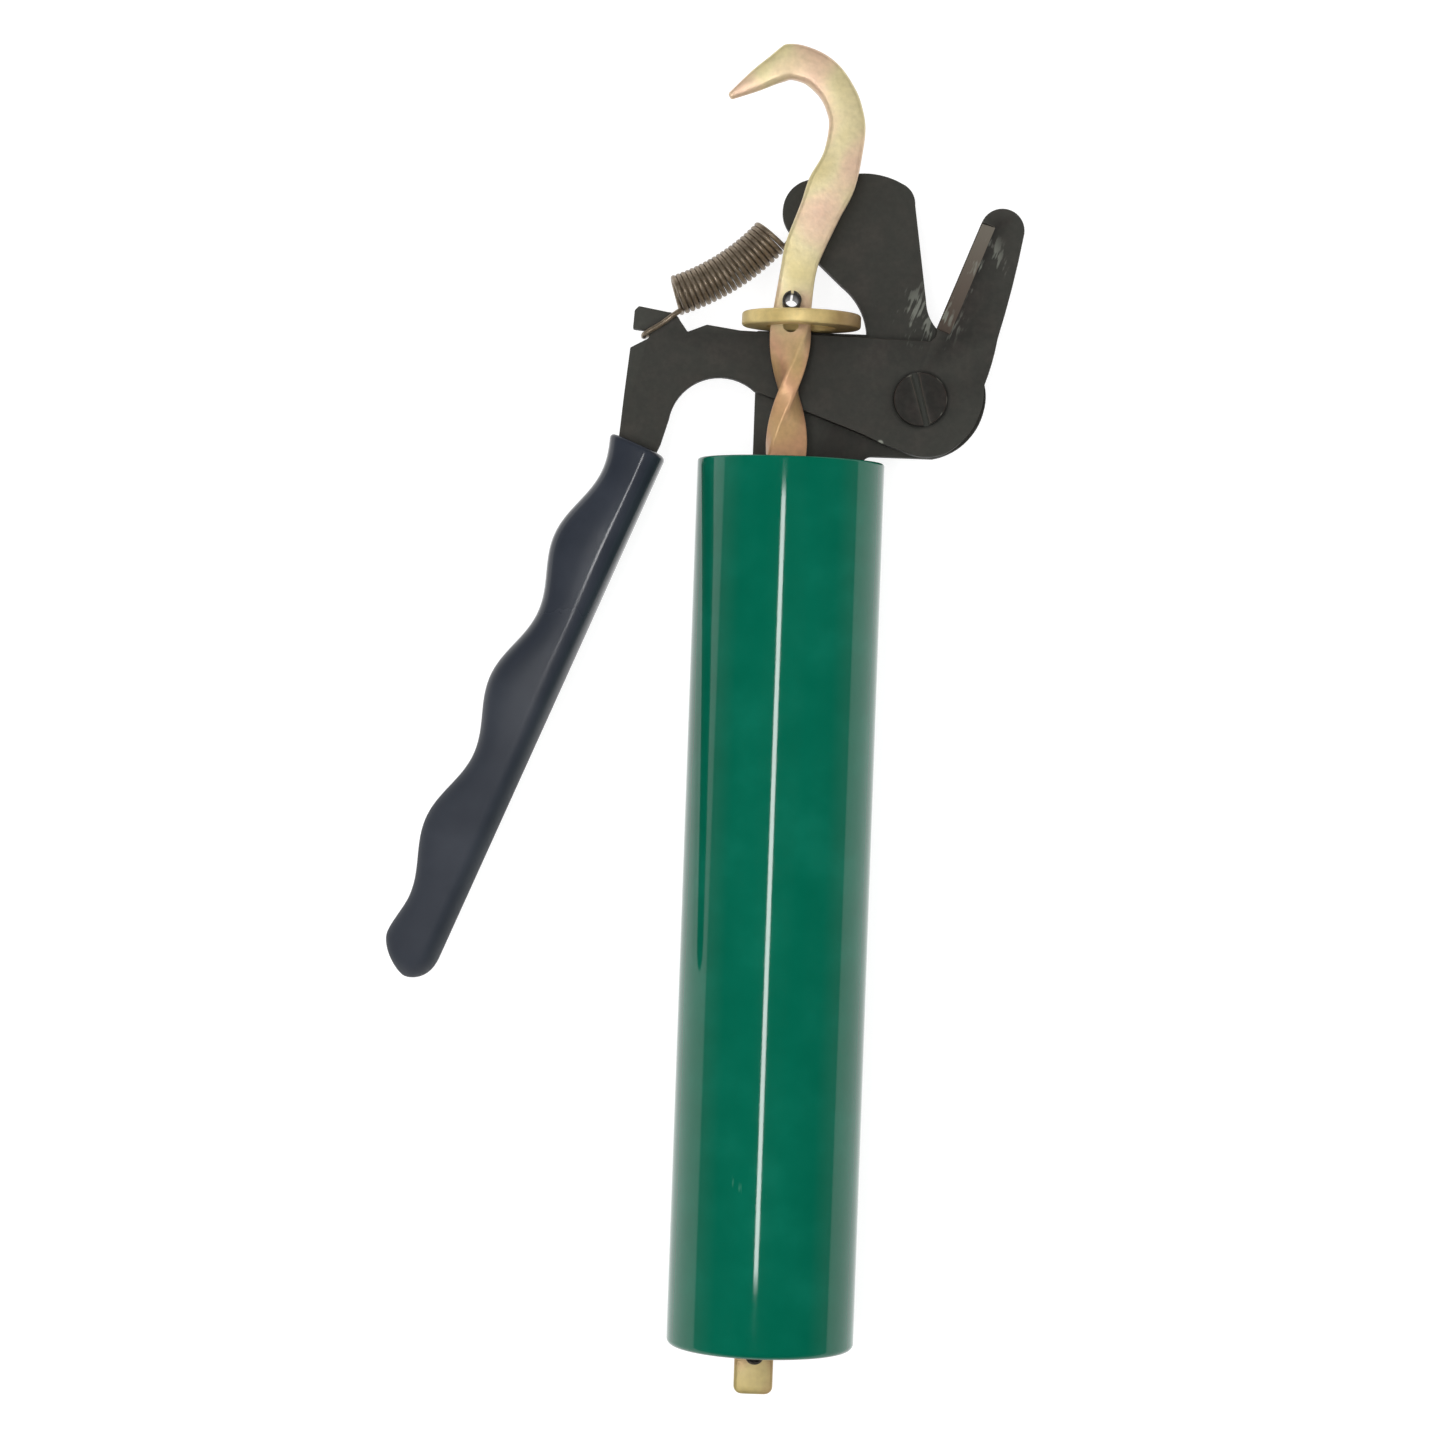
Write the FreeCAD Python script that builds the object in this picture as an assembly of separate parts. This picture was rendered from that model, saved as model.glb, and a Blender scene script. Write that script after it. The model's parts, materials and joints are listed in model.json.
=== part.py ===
import FreeCAD, Part
import math
import os

# Pull-type wire twister with a lever shear cutter, lying on its back.
# Millimetres. The origin is on the handle tube's axis at its tail end.
# +Y runs up the tube to the hook, +X to the cutter side, +Z up, off the table.

V = FreeCAD.Vector

# ---- driving dimensions ----

# handle tube
tube_od = 30.0
tube_wall = 1.5
tube_length = 142.0
lip_height = 1.4            # the tail end is rolled in to keep the spring seat inside
lip_inset = 1.2
tail_rounding = 1.1
mouth_rounding = 0.4

# twisted bar and hook
bar_width = 6.2
bar_thickness = 3.0
twist_turns = 3.5
bar_x = -0.9                # the bar's line, beside the tube's axis
tail_straight = 13.8        # untwisted length below the twist
tail_corner = 1.24
tail_below_tube = 6.9       # how far the tail shows below the tube

# roll pins through the bar
pin_od = 3.0
pin_bore = 2.2
pin_slit = 0.5
pin_length = 12.0
upper_pin_above_twist = 2.5
spare_hole_d = 2.6          # second cross hole, under the stop washer
spare_hole_below_pin = 3.4

# plates
plate_thickness = 3.0
plate_gap = 0.2             # filled by the shim at the pivot
lever_front = -0.4          # front face of the lever plate
pivot_beyond_tube = 5.33    # sideways from the tube's side
pivot_above_tube = 10.63
shoulder_above_tube = 21.1  # seat of the stop washer on the fixed jaw
tang_left = -6.15
tang_depth = 20.0           # how far the fixed jaw's tang goes down the tube
tang_fillet = 1.4
cutting_bevel = 2.4
cutting_bevel_depth = 1.1

# pivot screw, washer and nut
pivot_shank_d = 5.1
pivot_head_d = 8.7
pivot_head_height = 1.7
pivot_head_rounding = 0.35
pivot_slot_width = 0.9
pivot_slot_depth = 0.9
pivot_slot_turn = 15.9      # degrees from straight up the tool
pivot_washer_d = 10.0
pivot_washer_height = 1.0
pivot_nut_flats = 8.0
pivot_nut_height = 4.0
thread_past_nut = 0.8

# plug and drive nut in the tube's mouth
plug_recess = 1.0
plug_length = 25.0
drive_nut_d = 11.0
drive_nut_length = 12.0
drive_flange_d = 14.0
drive_flange_height = 1.5
lock_pin_d = 3.0
lock_pin_bite = 1.2
tang_screw_d = 4.0
tang_screw_head_d = 6.8
tang_screw_head_height = 2.0
tang_screw_spacing = 9.0
tang_screw_slot = 0.9

# washers
stop_washer_d = 19.0
stop_washer_height = 2.25
stop_washer_x = 0.8
seat_height = 1.5
thrust_washer_d = 18.0
thrust_washer_height = 1.0

# return spring round the bar, inside the tube
return_wire = 0.9
return_turns = 13

# lever spring
lever_spring_od = 6.6
lever_wire = 0.85
lever_spring_bend = 29.0    # degrees that the coil bends over its length
anchor_hole_d = 3.0
hook_wire_bend = 1.2        # bend radius of the hooks, in wire radii
hook_wire_gap = 0.15        # hook wire to the plate that it crosses
ear_hook_leg = (1.6, 1.3)   # how far the hook's end turns up behind the ear

# dipped grip on the lever
grip_thickness = 11.0
grip_lean = 22.34           # degrees from the tube's line
grip_waist = 8.45           # width at the finger grooves
grip_swell = 2.75           # how far the ridges stand above the grooves
grip_pitch = 25.0
grip_grooves = 3            # whole grooves below the first one
first_groove = 2.9
grip_edge_rounding = 1.5
lever_tang_edge = 2.0       # coat on the inner side of the lever's tang
lever_tang_width = 5.0
lever_tang_end = 79.0

# clearances
running = 0.05              # radial, shaft in hole
slot_clearance = 0.1        # bar in the drive nut, every side
guide_clearance = 0.1       # seat in the tube, bar in the seat
free_clearance = 0.3        # loose washers and parts that pass each other
tang_clearance = 0.2        # tang's corner to the bore
bar_over_lever = 0.75       # turning bar above the lever plate
contact_gap = 0.05          # pins and the washers that they rest on

# ---- places worked out from them ----

tube_r = tube_od / 2
bore_r = tube_r - tube_wall
bar_sweep = math.hypot(bar_width, bar_thickness) / 2
bar_z = lever_front + bar_over_lever + bar_sweep
lever_back = lever_front - plate_thickness
fixed_front = lever_back - plate_gap
fixed_back = fixed_front - plate_thickness
pivot_x = tube_r + pivot_beyond_tube
pivot_y = tube_length + pivot_above_tube
shoulder_y = tube_length + shoulder_above_tube
tang_right = math.sqrt(bore_r ** 2 - fixed_back ** 2) - tang_clearance
tang_bottom = tube_length - tang_depth

stop_washer_top = shoulder_y + stop_washer_height
upper_pin_y = stop_washer_top + contact_gap + pin_od / 2
lower_pin_y = 0.0
twist_bottom = tail_straight - tail_below_tube
twist_top = upper_pin_y - upper_pin_above_twist
twist_pitch = (twist_top - twist_bottom) / twist_turns
stop_washer_hole_r = stop_washer_x - bar_x + bar_sweep + free_clearance

plug_top = tube_length - plug_recess
plug_bottom = plug_top - plug_length
drive_nut_top = plug_bottom + drive_nut_length
seat_bottom = lower_pin_y + pin_od / 2 + contact_gap
seat_top = seat_bottom + seat_height
thrust_top = seat_top + thrust_washer_height
return_spring_r = (thrust_washer_d - return_wire) / 2

tang_screw_x = (tang_left + tang_right) / 2
tang_screw_ys = [tang_bottom + tang_depth / 2 + s * tang_screw_spacing / 2 for s in (-1, 1)]
tang_head_seat = -math.sqrt(bore_r ** 2 - (abs(tang_screw_x) + tang_screw_head_d / 2) ** 2) \
    + tang_screw_head_height


# ---- helpers ----

def cylinder(radius, length, at, direction):
    """Solid cylinder from the point `at` along `direction`."""
    return Part.makeCylinder(radius, length, V(*at), V(*direction))


def ring(outer_r, inner_r, length, at, direction):
    return cylinder(outer_r, length, at, direction).cut(cylinder(inner_r, length, at, direction))


def outline(start, steps):
    """Closed wire at z 0. A step holds one point for a straight edge, two for an arc through the first."""
    edges = []
    here = start
    for step in steps + [[start]]:
        end = step[-1]
        if len(step) == 1:
            edges.append(Part.makeLine(V(*here, 0), V(*end, 0)))
        else:
            edges.append(Part.Arc(V(*here, 0), V(*step[0], 0), V(*end, 0)).toShape())
        here = end
    return Part.Wire(edges)


def plate(wire, back, front):
    """The wire filled and made a plate from z `back` to z `front`."""
    face = Part.Face(wire)
    face.translate(V(0, 0, back))
    return face.extrude(V(0, 0, front - back))


def by_pivot(x, y):
    """A point measured from the cutter's pivot."""
    return (pivot_x + x, pivot_y + y)


def by_side(x, y):
    """A point measured from the corner of the tube's mouth on the lever side."""
    return (-tube_r + x, tube_length + y)


def along_grip(down, out):
    """A point in the grip's own lines: down its inner side, and out from it."""
    lean = math.radians(grip_lean)
    x0, y0 = by_side(-6.34, -2.93)
    return (x0 - down * math.sin(lean) - out * math.cos(lean),
            y0 - down * math.cos(lean) + out * math.sin(lean))


def wire_run(points, radius):
    """Round wire along straight runs, bent round at each turn."""
    bend = hook_wire_bend * radius
    corners = [V(*point) for point in points]
    edges = []
    here = corners[0]
    for before, corner, after in zip(corners, corners[1:], corners[2:]):
        back = (before - corner).normalize()
        ahead = (after - corner).normalize()
        half = back.getAngle(ahead) / 2
        reach = bend / math.tan(half)
        middle = (back + ahead).normalize() * (bend / math.sin(half) - bend)
        edges.append(Part.makeLine(here, corner + back * reach))
        edges.append(Part.Arc(corner + back * reach, corner + middle, corner + ahead * reach).toShape())
        here = corner + ahead * reach
    edges.append(Part.makeLine(here, corners[-1]))
    circle = Part.Wire(Part.makeCircle(radius, corners[0], corners[1] - corners[0]))
    return Part.Wire(edges).makePipeShell([circle], True, True)


def upright(shape, x, y, z):
    """Turns a shape made along +Z to lie along +Y, with its foot at the given point."""
    shape.rotate(V(0, 0, 0), V(1, 0, 0), -90)
    shape.translate(V(x, y, z))
    return shape


def twisted_bar(width, thickness):
    """The right-hand twist of the bar: a rectangle carried up a line, turning once each pitch."""
    length = twist_top - twist_bottom
    spine = Part.Wire([Part.makeLine(V(0, 0, 0), V(0, 0, length))])
    guide = Part.Wire(Part.makeHelix(twist_pitch, length, width).Edges)
    w = width / 2
    t = thickness / 2
    section = Part.makePolygon([V(-w, -t, 0), V(w, -t, 0), V(w, t, 0), V(-w, t, 0), V(-w, -t, 0)])
    sweep = Part.BRepOffsetAPI.MakePipeShell(spine)
    sweep.setAuxiliarySpine(guide, True, 0)
    sweep.add(section, False, False)
    sweep.build()
    sweep.makeSolid()
    return upright(sweep.shape(), bar_x, twist_bottom, bar_z)


def roll_pin(y):
    """Split tube through the bar, its slit towards the hook."""
    foot = (bar_x, y, bar_z - pin_length / 2)
    pin = ring(pin_od / 2, pin_bore / 2, pin_length, foot, (0, 0, 1))
    slit = Part.makeBox(pin_slit, pin_od, pin_length, V(bar_x - pin_slit / 2, y, foot[2]))
    return pin.cut(slit)


# ---- handle ----

def handle_tube():
    """Steel tube, with its tail end rolled in and two holes at the back for the tang screws."""
    body = cylinder(tube_r, tube_length, (0, 0, 0), (0, 1, 0))
    tail = [e for e in body.Edges if abs(e.BoundBox.YMax) < 0.01]
    body = body.makeFillet(tail_rounding, tail)
    mouth = [e for e in body.Edges if abs(e.BoundBox.YMin - tube_length) < 0.01]
    body = body.makeFillet(mouth_rounding, mouth)
    body = body.cut(cylinder(bore_r, tube_length, (0, lip_height, 0), (0, 1, 0)))
    body = body.cut(cylinder(bore_r - lip_inset, tube_length, (0, -1, 0), (0, 1, 0)))
    for y in tang_screw_ys:
        body = body.cut(tang_screw_pocket(y))
    return body


def tang_screw_pocket(y):
    """Round hole from outside the tube down to the seat of a tang screw's head."""
    radius = tang_screw_head_d / 2 + running
    return cylinder(radius, tube_r + tang_head_seat, (tang_screw_x, y, -tube_r), (0, 0, 1))


def head_plug():
    """Turned plug in the tube's mouth: it holds the fixed jaw's tang and the drive nut."""
    plug = cylinder(bore_r, plug_length, (0, plug_bottom, 0), (0, 1, 0))
    plug = plug.cut(Part.makeBox(tang_right - tang_left, plug_top - tang_bottom, plate_thickness,
                                 V(tang_left, tang_bottom, fixed_back)))
    passage = (bar_x, plug_bottom, bar_z)
    plug = plug.cut(cylinder(bar_sweep + free_clearance, plug_length, passage, (0, 1, 0)))
    plug = plug.cut(cylinder(drive_nut_d / 2, drive_nut_length, passage, (0, 1, 0)))
    plug = plug.cut(cylinder(drive_flange_d / 2, drive_flange_height, passage, (0, 1, 0)))
    plug = plug.cut(nut_lock_pin())
    for y in tang_screw_ys:
        plug = plug.cut(tang_screw_pocket(y))
        plug = plug.cut(cylinder(tang_screw_d / 2, fixed_back - tang_head_seat,
                                 (tang_screw_x, y, tang_head_seat), (0, 0, 1)))
    return plug


def drive_nut():
    """Flanged nut whose twisted slot turns the bar as it is drawn through."""
    foot = (bar_x, plug_bottom, bar_z)
    nut = cylinder(drive_nut_d / 2, drive_nut_length, foot, (0, 1, 0))
    nut = nut.fuse(cylinder(drive_flange_d / 2, drive_flange_height, foot, (0, 1, 0)))
    nut = nut.cut(twisted_bar(bar_width + 2 * slot_clearance, bar_thickness + 2 * slot_clearance))
    return nut.cut(nut_lock_pin())


def nut_lock_pin():
    """Dowel through the plug's side that keeps the drive nut from turning."""
    inner_x = bar_x + drive_nut_d / 2 - lock_pin_bite
    outer_x = math.sqrt(bore_r ** 2 - (bar_z + lock_pin_d / 2) ** 2)
    y = (plug_bottom + drive_flange_height + drive_nut_top) / 2
    return cylinder(lock_pin_d / 2, outer_x - inner_x, (inner_x, y, bar_z), (1, 0, 0))


def tang_screws():
    """Two screws from the back, through the plug into the fixed jaw's tang."""
    screws = []
    for y in tang_screw_ys:
        top = tang_head_seat - tang_screw_head_height
        head = cylinder(tang_screw_head_d / 2, tang_screw_head_height, (tang_screw_x, y, top), (0, 0, 1))
        slot = Part.makeBox(tang_screw_head_d, tang_screw_slot, tang_screw_head_height / 2,
                            V(tang_screw_x - tang_screw_head_d / 2, y - tang_screw_slot / 2, top))
        shank = cylinder(tang_screw_d / 2, fixed_front - tang_head_seat,
                         (tang_screw_x, y, tang_head_seat), (0, 0, 1))
        screws.append(head.cut(slot).fuse(shank).removeSplitter())
    return Part.makeCompound(screws)


# ---- cutter ----

def bevel_wedge(foot, tip, inward, face_z, into):
    """Wedge that grinds a cutting edge from `foot` to `tip` on the face at z `face_z`."""
    run = V(tip[0] - foot[0], tip[1] - foot[1], 0)
    side = V(-run.y, run.x, 0).normalize() * inward
    edge = V(foot[0], foot[1], face_z)
    proud = side * -1.0
    corners = [edge + side * cutting_bevel, edge + V(0, 0, into * cutting_bevel_depth),
               edge + V(0, 0, into * cutting_bevel_depth) + proud, edge - V(0, 0, into) + proud,
               edge - V(0, 0, into) + side * cutting_bevel]
    return Part.Face(Part.makePolygon(corners + corners[:1])).extrude(run)


def fixed_jaw():
    """Back plate: tang in the plug, shoulder for the stop washer, blade and spring lobe."""
    neck = (by_pivot(-8.79, 0)[0], shoulder_y)
    cheek_y = by_pivot(0, -9.13)[1]
    inset = tang_fillet * (1 - math.sqrt(0.5))
    wire = outline((tang_left, tang_bottom), [
        [(tang_left, shoulder_y)],
        [neck],
        [by_pivot(-9.98, 14.57), by_pivot(-13.08, 18.17)],
        [by_pivot(-17.02, 21.77)],
        [by_pivot(-21.83, 26.67)],
        [by_pivot(-23.03, 30.57), by_pivot(-20.03, 34.77)],
        [by_pivot(-15.73, 36.02), by_pivot(-10.98, 36.41)],
        [by_pivot(-7.3, 36.22), by_pivot(-3.9, 35.0)],
        [by_pivot(-2.2, 33.5), by_pivot(-1.72, 31.6)],
        [by_pivot(0.59, 16.11)],
        [by_pivot(1.1, 13.9), by_pivot(2.31, 11.97)],
        [by_pivot(6.87, 7.97)],
        [by_pivot(10.15, 4.0), by_pivot(10.5, -1.2)],
        [by_pivot(8.2, -5.85), by_pivot(2.5, -9.13)],
        [(tang_right + tang_fillet, cheek_y)],
        [(tang_right + inset, cheek_y - inset), (tang_right, cheek_y - tang_fillet)],
        [(tang_right, tang_bottom)],
    ])
    jaw = plate(wire, fixed_back, fixed_front)
    for at, radius in [(by_pivot(0, 0), pivot_shank_d / 2 + running), (spring_anchor(), anchor_hole_d / 2)]:
        jaw = jaw.cut(cylinder(radius, plate_thickness, (*at, fixed_back), (0, 0, 1)))
    for y in tang_screw_ys:
        jaw = jaw.cut(cylinder(tang_screw_d / 2, plate_thickness, (tang_screw_x, y, fixed_back), (0, 0, 1)))
    return jaw.cut(bevel_wedge(by_pivot(0.59, 16.11), by_pivot(-1.72, 31.6), 1, fixed_back, 1))


def spring_anchor():
    return by_pivot(-18.83, 29.17)


def lever_plate():
    """Front plate: cutting prong, pivot eye, arm with the spring's ear, and the tang in the grip."""
    tang_out = lever_tang_edge + lever_tang_width
    half = lever_tang_width / 2
    wire = outline(by_side(-10.29, 24.1), [
        [by_side(-5.6, 23.3)],
        [by_side(-4.4, 22.95), by_side(-3.6, 22.0)],
        [by_side(-2.33, 20.25)],
        [by_side(0.72, 21.5)],
        [by_side(6.13, 20.75)],
        [by_pivot(1.2, 9.45)],
        [by_pivot(2.0, 10.1), by_pivot(2.26, 11.5)],
        [by_pivot(8.95, 28.9)],
        [by_pivot(11.9, 31.15), by_pivot(15.72, 26.76)],
        [by_pivot(14.15, 18.5), by_pivot(12.13, 10.27)],
        [by_pivot(11.35, 6.3), by_pivot(10.21, 2.54)],
        [by_pivot(8.48, -4.49), by_pivot(4.44, -8.46)],
        [by_pivot(0.98, -9.11), by_pivot(-2.53, -8.3)],
        [by_pivot(-5.35, -7.42)],
        [by_pivot(-9.6, -5.6)],
        [by_side(8.7, 11.15)],
        [by_side(1.64, 13.02), by_side(-4.88, 6.16)],
        [along_grip(-4.7, 1.66)],
        [along_grip(5.0, lever_tang_edge)],
        [along_grip(lever_tang_end - half, lever_tang_edge)],
        [along_grip(lever_tang_end, lever_tang_edge + half),
         along_grip(lever_tang_end - half, tang_out)],
        [along_grip(6.0, tang_out)],
        [along_grip(-3.4, 8.3)],
        [by_side(-12.21, 9.51)],
        [by_side(-11.45, 17.4)],
        [by_side(-8.9, 18.8)],
        [by_side(-8.5, 19.8), by_side(-9.3, 20.3)],
        [by_side(-11.13, 20.5)],
        [by_side(-10.95, 23.4)],
    ])
    lever = plate(wire, lever_back, lever_front)
    lever = lever.cut(cylinder(pivot_shank_d / 2 + running, plate_thickness,
                               (pivot_x, pivot_y, lever_back), (0, 0, 1)))
    return lever.cut(bevel_wedge(by_pivot(2.26, 11.5), by_pivot(8.95, 28.9), -1, lever_front, -1))


def lever_grip():
    """Dipped plastic grip, its outer side waved for the fingers and its end turned out."""
    points = [V(*along_grip(-3.1, 9.05), 0)]
    for quarter in range(4 * grip_grooves + 1):
        turn = quarter * math.pi / 2
        points.append(V(*along_grip(first_groove + quarter * grip_pitch / 4,
                                    grip_waist + grip_swell * (1 - math.cos(turn)) / 2), 0))
    last_groove = first_groove + grip_grooves * grip_pitch
    end = [(6.7, 9.25), (9.9, 8.0), (11.8, 5.2), (12.1, 3.0), (11.0, 1.2), (9.0, 0.05), (7.0, 0.0)]
    for down, out in end:
        points.append(V(*along_grip(last_groove + down, out), 0))
    side = Part.BSplineCurve()
    side.interpolate(points)
    corner = V(*along_grip(-3.1, 0.5), 0)
    shin = V(*along_grip(3.0, 0.0), 0)
    wire = Part.Wire([side.toShape(), Part.makeLine(points[-1], shin), Part.makeLine(shin, corner),
                      Part.makeLine(corner, points[0])])
    middle = (lever_front + lever_back) / 2
    back = middle - grip_thickness / 2
    front = middle + grip_thickness / 2
    grip = plate(wire, back, front)
    rims = [e for e in grip.Edges if e.BoundBox.ZLength < 0.01]
    grip = grip.makeFillet(grip_edge_rounding, rims)
    return grip.cut(lever_plate())


def pivot_screw():
    """Slotted screw that the lever turns on."""
    end = fixed_back - pivot_washer_height - pivot_nut_height - thread_past_nut
    at = (pivot_x, pivot_y, end)
    screw = cylinder(pivot_shank_d / 2, lever_front - end, at, (0, 0, 1))
    head_at = (pivot_x, pivot_y, lever_front)
    head = cylinder(pivot_head_d / 2, pivot_head_height, head_at, (0, 0, 1))
    top_z = lever_front + pivot_head_height
    rim = [e for e in head.Edges if abs(e.BoundBox.ZMin - top_z) < 0.01]
    head = head.makeFillet(pivot_head_rounding, rim)
    slot = Part.makeBox(pivot_slot_width, 2 * pivot_head_d, pivot_slot_depth,
                        V(-pivot_slot_width / 2, -pivot_head_d, top_z - pivot_slot_depth))
    slot.rotate(V(0, 0, 0), V(0, 0, 1), pivot_slot_turn)
    slot.translate(V(pivot_x, pivot_y, 0))
    return screw.fuse(head.cut(slot)).removeSplitter()


def pivot_shim():
    """Thin washer that keeps the two plates just apart."""
    return ring(pivot_head_d / 2, pivot_shank_d / 2 + running, plate_gap,
                (pivot_x, pivot_y, fixed_front), (0, 0, 1))


def pivot_washer():
    return ring(pivot_washer_d / 2, pivot_shank_d / 2 + running, pivot_washer_height,
                (pivot_x, pivot_y, fixed_back - pivot_washer_height), (0, 0, 1))


def pivot_nut():
    foot = fixed_back - pivot_washer_height - pivot_nut_height
    corner_r = pivot_nut_flats / math.sqrt(3)
    corners = []
    for degrees in range(0, 361, 60):
        turn = math.radians(degrees)
        corners.append(V(*by_pivot(corner_r * math.cos(turn), corner_r * math.sin(turn)), foot))
    nut = Part.Face(Part.makePolygon(corners)).extrude(V(0, 0, pivot_nut_height))
    return nut.cut(cylinder(pivot_shank_d / 2, pivot_nut_height, (pivot_x, pivot_y, foot), (0, 0, 1)))


def lever_spring():
    """Extension spring as a bent sleeve over its close coils, with a wire hook at each end."""
    middle = (lever_front + fixed_back) / 2
    start = V(*by_side(-4.4, 26.3), middle)
    end = V(*by_pivot(-24.73, 25.87), middle)
    chord = end.sub(start)
    heading = math.atan2(chord.y, chord.x) - math.radians(lever_spring_bend / 2)
    bend_r = chord.Length / (2 * math.sin(math.radians(lever_spring_bend / 2)))
    tangent = V(math.cos(heading), math.sin(heading), 0)
    centre = start + V(-tangent.y, tangent.x, 0) * bend_r
    pipes = []
    for radius in (lever_spring_od / 2, lever_spring_od / 2 - lever_wire):
        disc = Part.Face(Part.Wire(Part.makeCircle(radius, start, tangent)))
        pipes.append(disc.revolve(centre, V(0, 0, 1), lever_spring_bend))
    sleeve = pipes[0].cut(pipes[1])
    wire_r = lever_wire / 2
    left = wire_run(ear_hook(coil_edge(start, heading), wire_r), wire_r)
    right = wire_run(lobe_hook(coil_edge(end, heading + math.radians(lever_spring_bend)), wire_r), wire_r)
    return sleeve.fuse([left, right]).removeSplitter()


def coil_edge(middle, heading):
    """Where a hook leaves the last coil: its right-hand edge, looking along the spring."""
    out = lever_spring_od / 2 - lever_wire / 4
    return middle + V(out * math.sin(heading), -out * math.cos(heading), 0)


def ear_hook(leave, wire_r):
    """From the coil across the ear's front, through its notch and up behind it."""
    front = lever_front + wire_r + hook_wire_gap
    back = lever_back - wire_r - hook_wire_gap
    notch = by_side(-9.25, 19.5)
    return [tuple(leave), (leave.x - 0.1, leave.y, front), (*notch, front), (*notch, back),
            (notch[0] + ear_hook_leg[0], notch[1] + ear_hook_leg[1], back)]


def lobe_hook(leave, wire_r):
    """From the coil across the lobe's front and down through the anchor hole."""
    front = fixed_front + wire_r + hook_wire_gap
    anchor = spring_anchor()
    return [(leave.x, leave.y, front), (*anchor, front), (*anchor, fixed_back - 2 * wire_r)]


# ---- hook rod and what slides with it ----

def hook_plate():
    """Flat hook above the twist, open to the lever side, with a straight tapered point."""
    left = bar_x - bar_width / 2
    right = bar_x + bar_width / 2

    def up(x, y):
        return (bar_x + x, twist_top + y)

    wire = outline((left, twist_top), [
        [up(-1.9, 8.2)],
        [up(-0.95, 13.4), up(0.75, 18.4)],
        [up(2.1, 22.65)],
        [up(4.95, 30.2), up(3.57, 35.3)],
        [up(1.5, 37.4), up(-1.24, 38.2)],
        [up(-10.83, 34.6)],
        [up(-11.4, 35.2)],
        [up(-3.0, 43.1)],
        [up(-0.6, 43.78), up(3.1, 42.8)],
        [up(8.5, 37.8), up(10.78, 30.5)],
        [up(10.35, 26.2), up(9.5, 21.8)],
        [up(7.8, 16.9), up(5.3, 12.9)],
        [up(3.95, 8.6), (right, twist_top)],
    ])
    return plate(wire, bar_z - bar_thickness / 2, bar_z + bar_thickness / 2)


def hook_rod():
    """One bar: straight tail, right-hand twist, shank and hook, with its cross holes."""
    tail = Part.makeBox(bar_width, tail_straight, bar_thickness,
                        V(bar_x - bar_width / 2, -tail_below_tube, bar_z - bar_thickness / 2))
    end = [e for e in tail.Edges if e.BoundBox.YMax < -tail_below_tube + 0.01]
    tail = tail.makeFillet(tail_corner, [e for e in end if e.BoundBox.XLength < 0.01])
    rod = twisted_bar(bar_width, bar_thickness).fuse([tail, hook_plate()])
    holes = [(upper_pin_y, pin_od / 2), (lower_pin_y, pin_od / 2),
             (upper_pin_y - spare_hole_below_pin, spare_hole_d / 2)]
    for y, radius in holes:
        rod = rod.cut(cylinder(radius, pin_length, (bar_x, y, bar_z - pin_length / 2), (0, 0, 1)))
    return rod


def stop_washer():
    """Loose washer between the upper pin and the fixed jaw's shoulder."""
    return ring(stop_washer_d / 2, stop_washer_hole_r, stop_washer_height,
                (stop_washer_x, shoulder_y, bar_z), (0, 1, 0))


def spring_seat():
    """Disc that the lower pin draws up the tube; it carries the return spring."""
    disc = cylinder(bore_r - guide_clearance, seat_height, (0, seat_bottom, 0), (0, 1, 0))
    hole_r = bar_sweep + guide_clearance
    return disc.cut(cylinder(hole_r, seat_height, (bar_x, seat_bottom, bar_z), (0, 1, 0)))


def thrust_washer():
    return ring(thrust_washer_d / 2, bar_sweep + free_clearance, thrust_washer_height,
                (bar_x, seat_top, bar_z), (0, 1, 0))


def return_spring():
    """Open compression spring between the thrust washer and the drive nut."""
    height = plug_bottom - thrust_top - return_wire
    helix = Part.makeHelix(height / return_turns, height, return_spring_r)
    circle = Part.Wire(Part.makeCircle(return_wire / 2, V(return_spring_r, 0, 0), V(0, 1, 0)))
    coil = Part.Wire(helix.Edges).makePipeShell([circle], True, True)
    return upright(coil, bar_x, thrust_top + return_wire / 2, bar_z)


NODES = {
    "handle_tube": handle_tube,
    "head_plug": head_plug,
    "drive_nut": drive_nut,
    "nut_lock_pin": nut_lock_pin,
    "tang_screws": tang_screws,
    "fixed_jaw": fixed_jaw,
    "pivot_screw": pivot_screw,
    "pivot_shim": pivot_shim,
    "pivot_washer": pivot_washer,
    "pivot_nut": pivot_nut,
    "lever_plate": lever_plate,
    "lever_grip": lever_grip,
    "lever_spring": lever_spring,
    "hook_rod": hook_rod,
    "upper_stop_pin": lambda: roll_pin(upper_pin_y),
    "lower_stop_pin": lambda: roll_pin(lower_pin_y),
    "stop_washer": stop_washer,
    "spring_seat": spring_seat,
    "thrust_washer": thrust_washer,
    "return_spring": return_spring,
}

os.makedirs("parts", exist_ok=True)
for name, build in NODES.items():
    shape = build()
    shape.exportStep(f"parts/{name}.step")
    box = shape.BoundBox
    print(f"{name:16s} solids {len(shape.Solids)} valid {shape.isValid()} volume {shape.Volume:9.1f} "
          f"x {box.XMin:.1f} {box.XMax:.1f} y {box.YMin:.1f} {box.YMax:.1f} "
          f"z {box.ZMin:.1f} {box.ZMax:.1f}")
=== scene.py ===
# %% [markdown]
# # A wire twister with a lever cutter
# The engineering model of the tool is loaded first and never moved. Every cell after it either
# makes one piece of the tool with a better surface, or mixes one finish. The tool lies on its back:
# +Y runs up the handle to the hook, +X to the cutter, +Z up to the eye.

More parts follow.
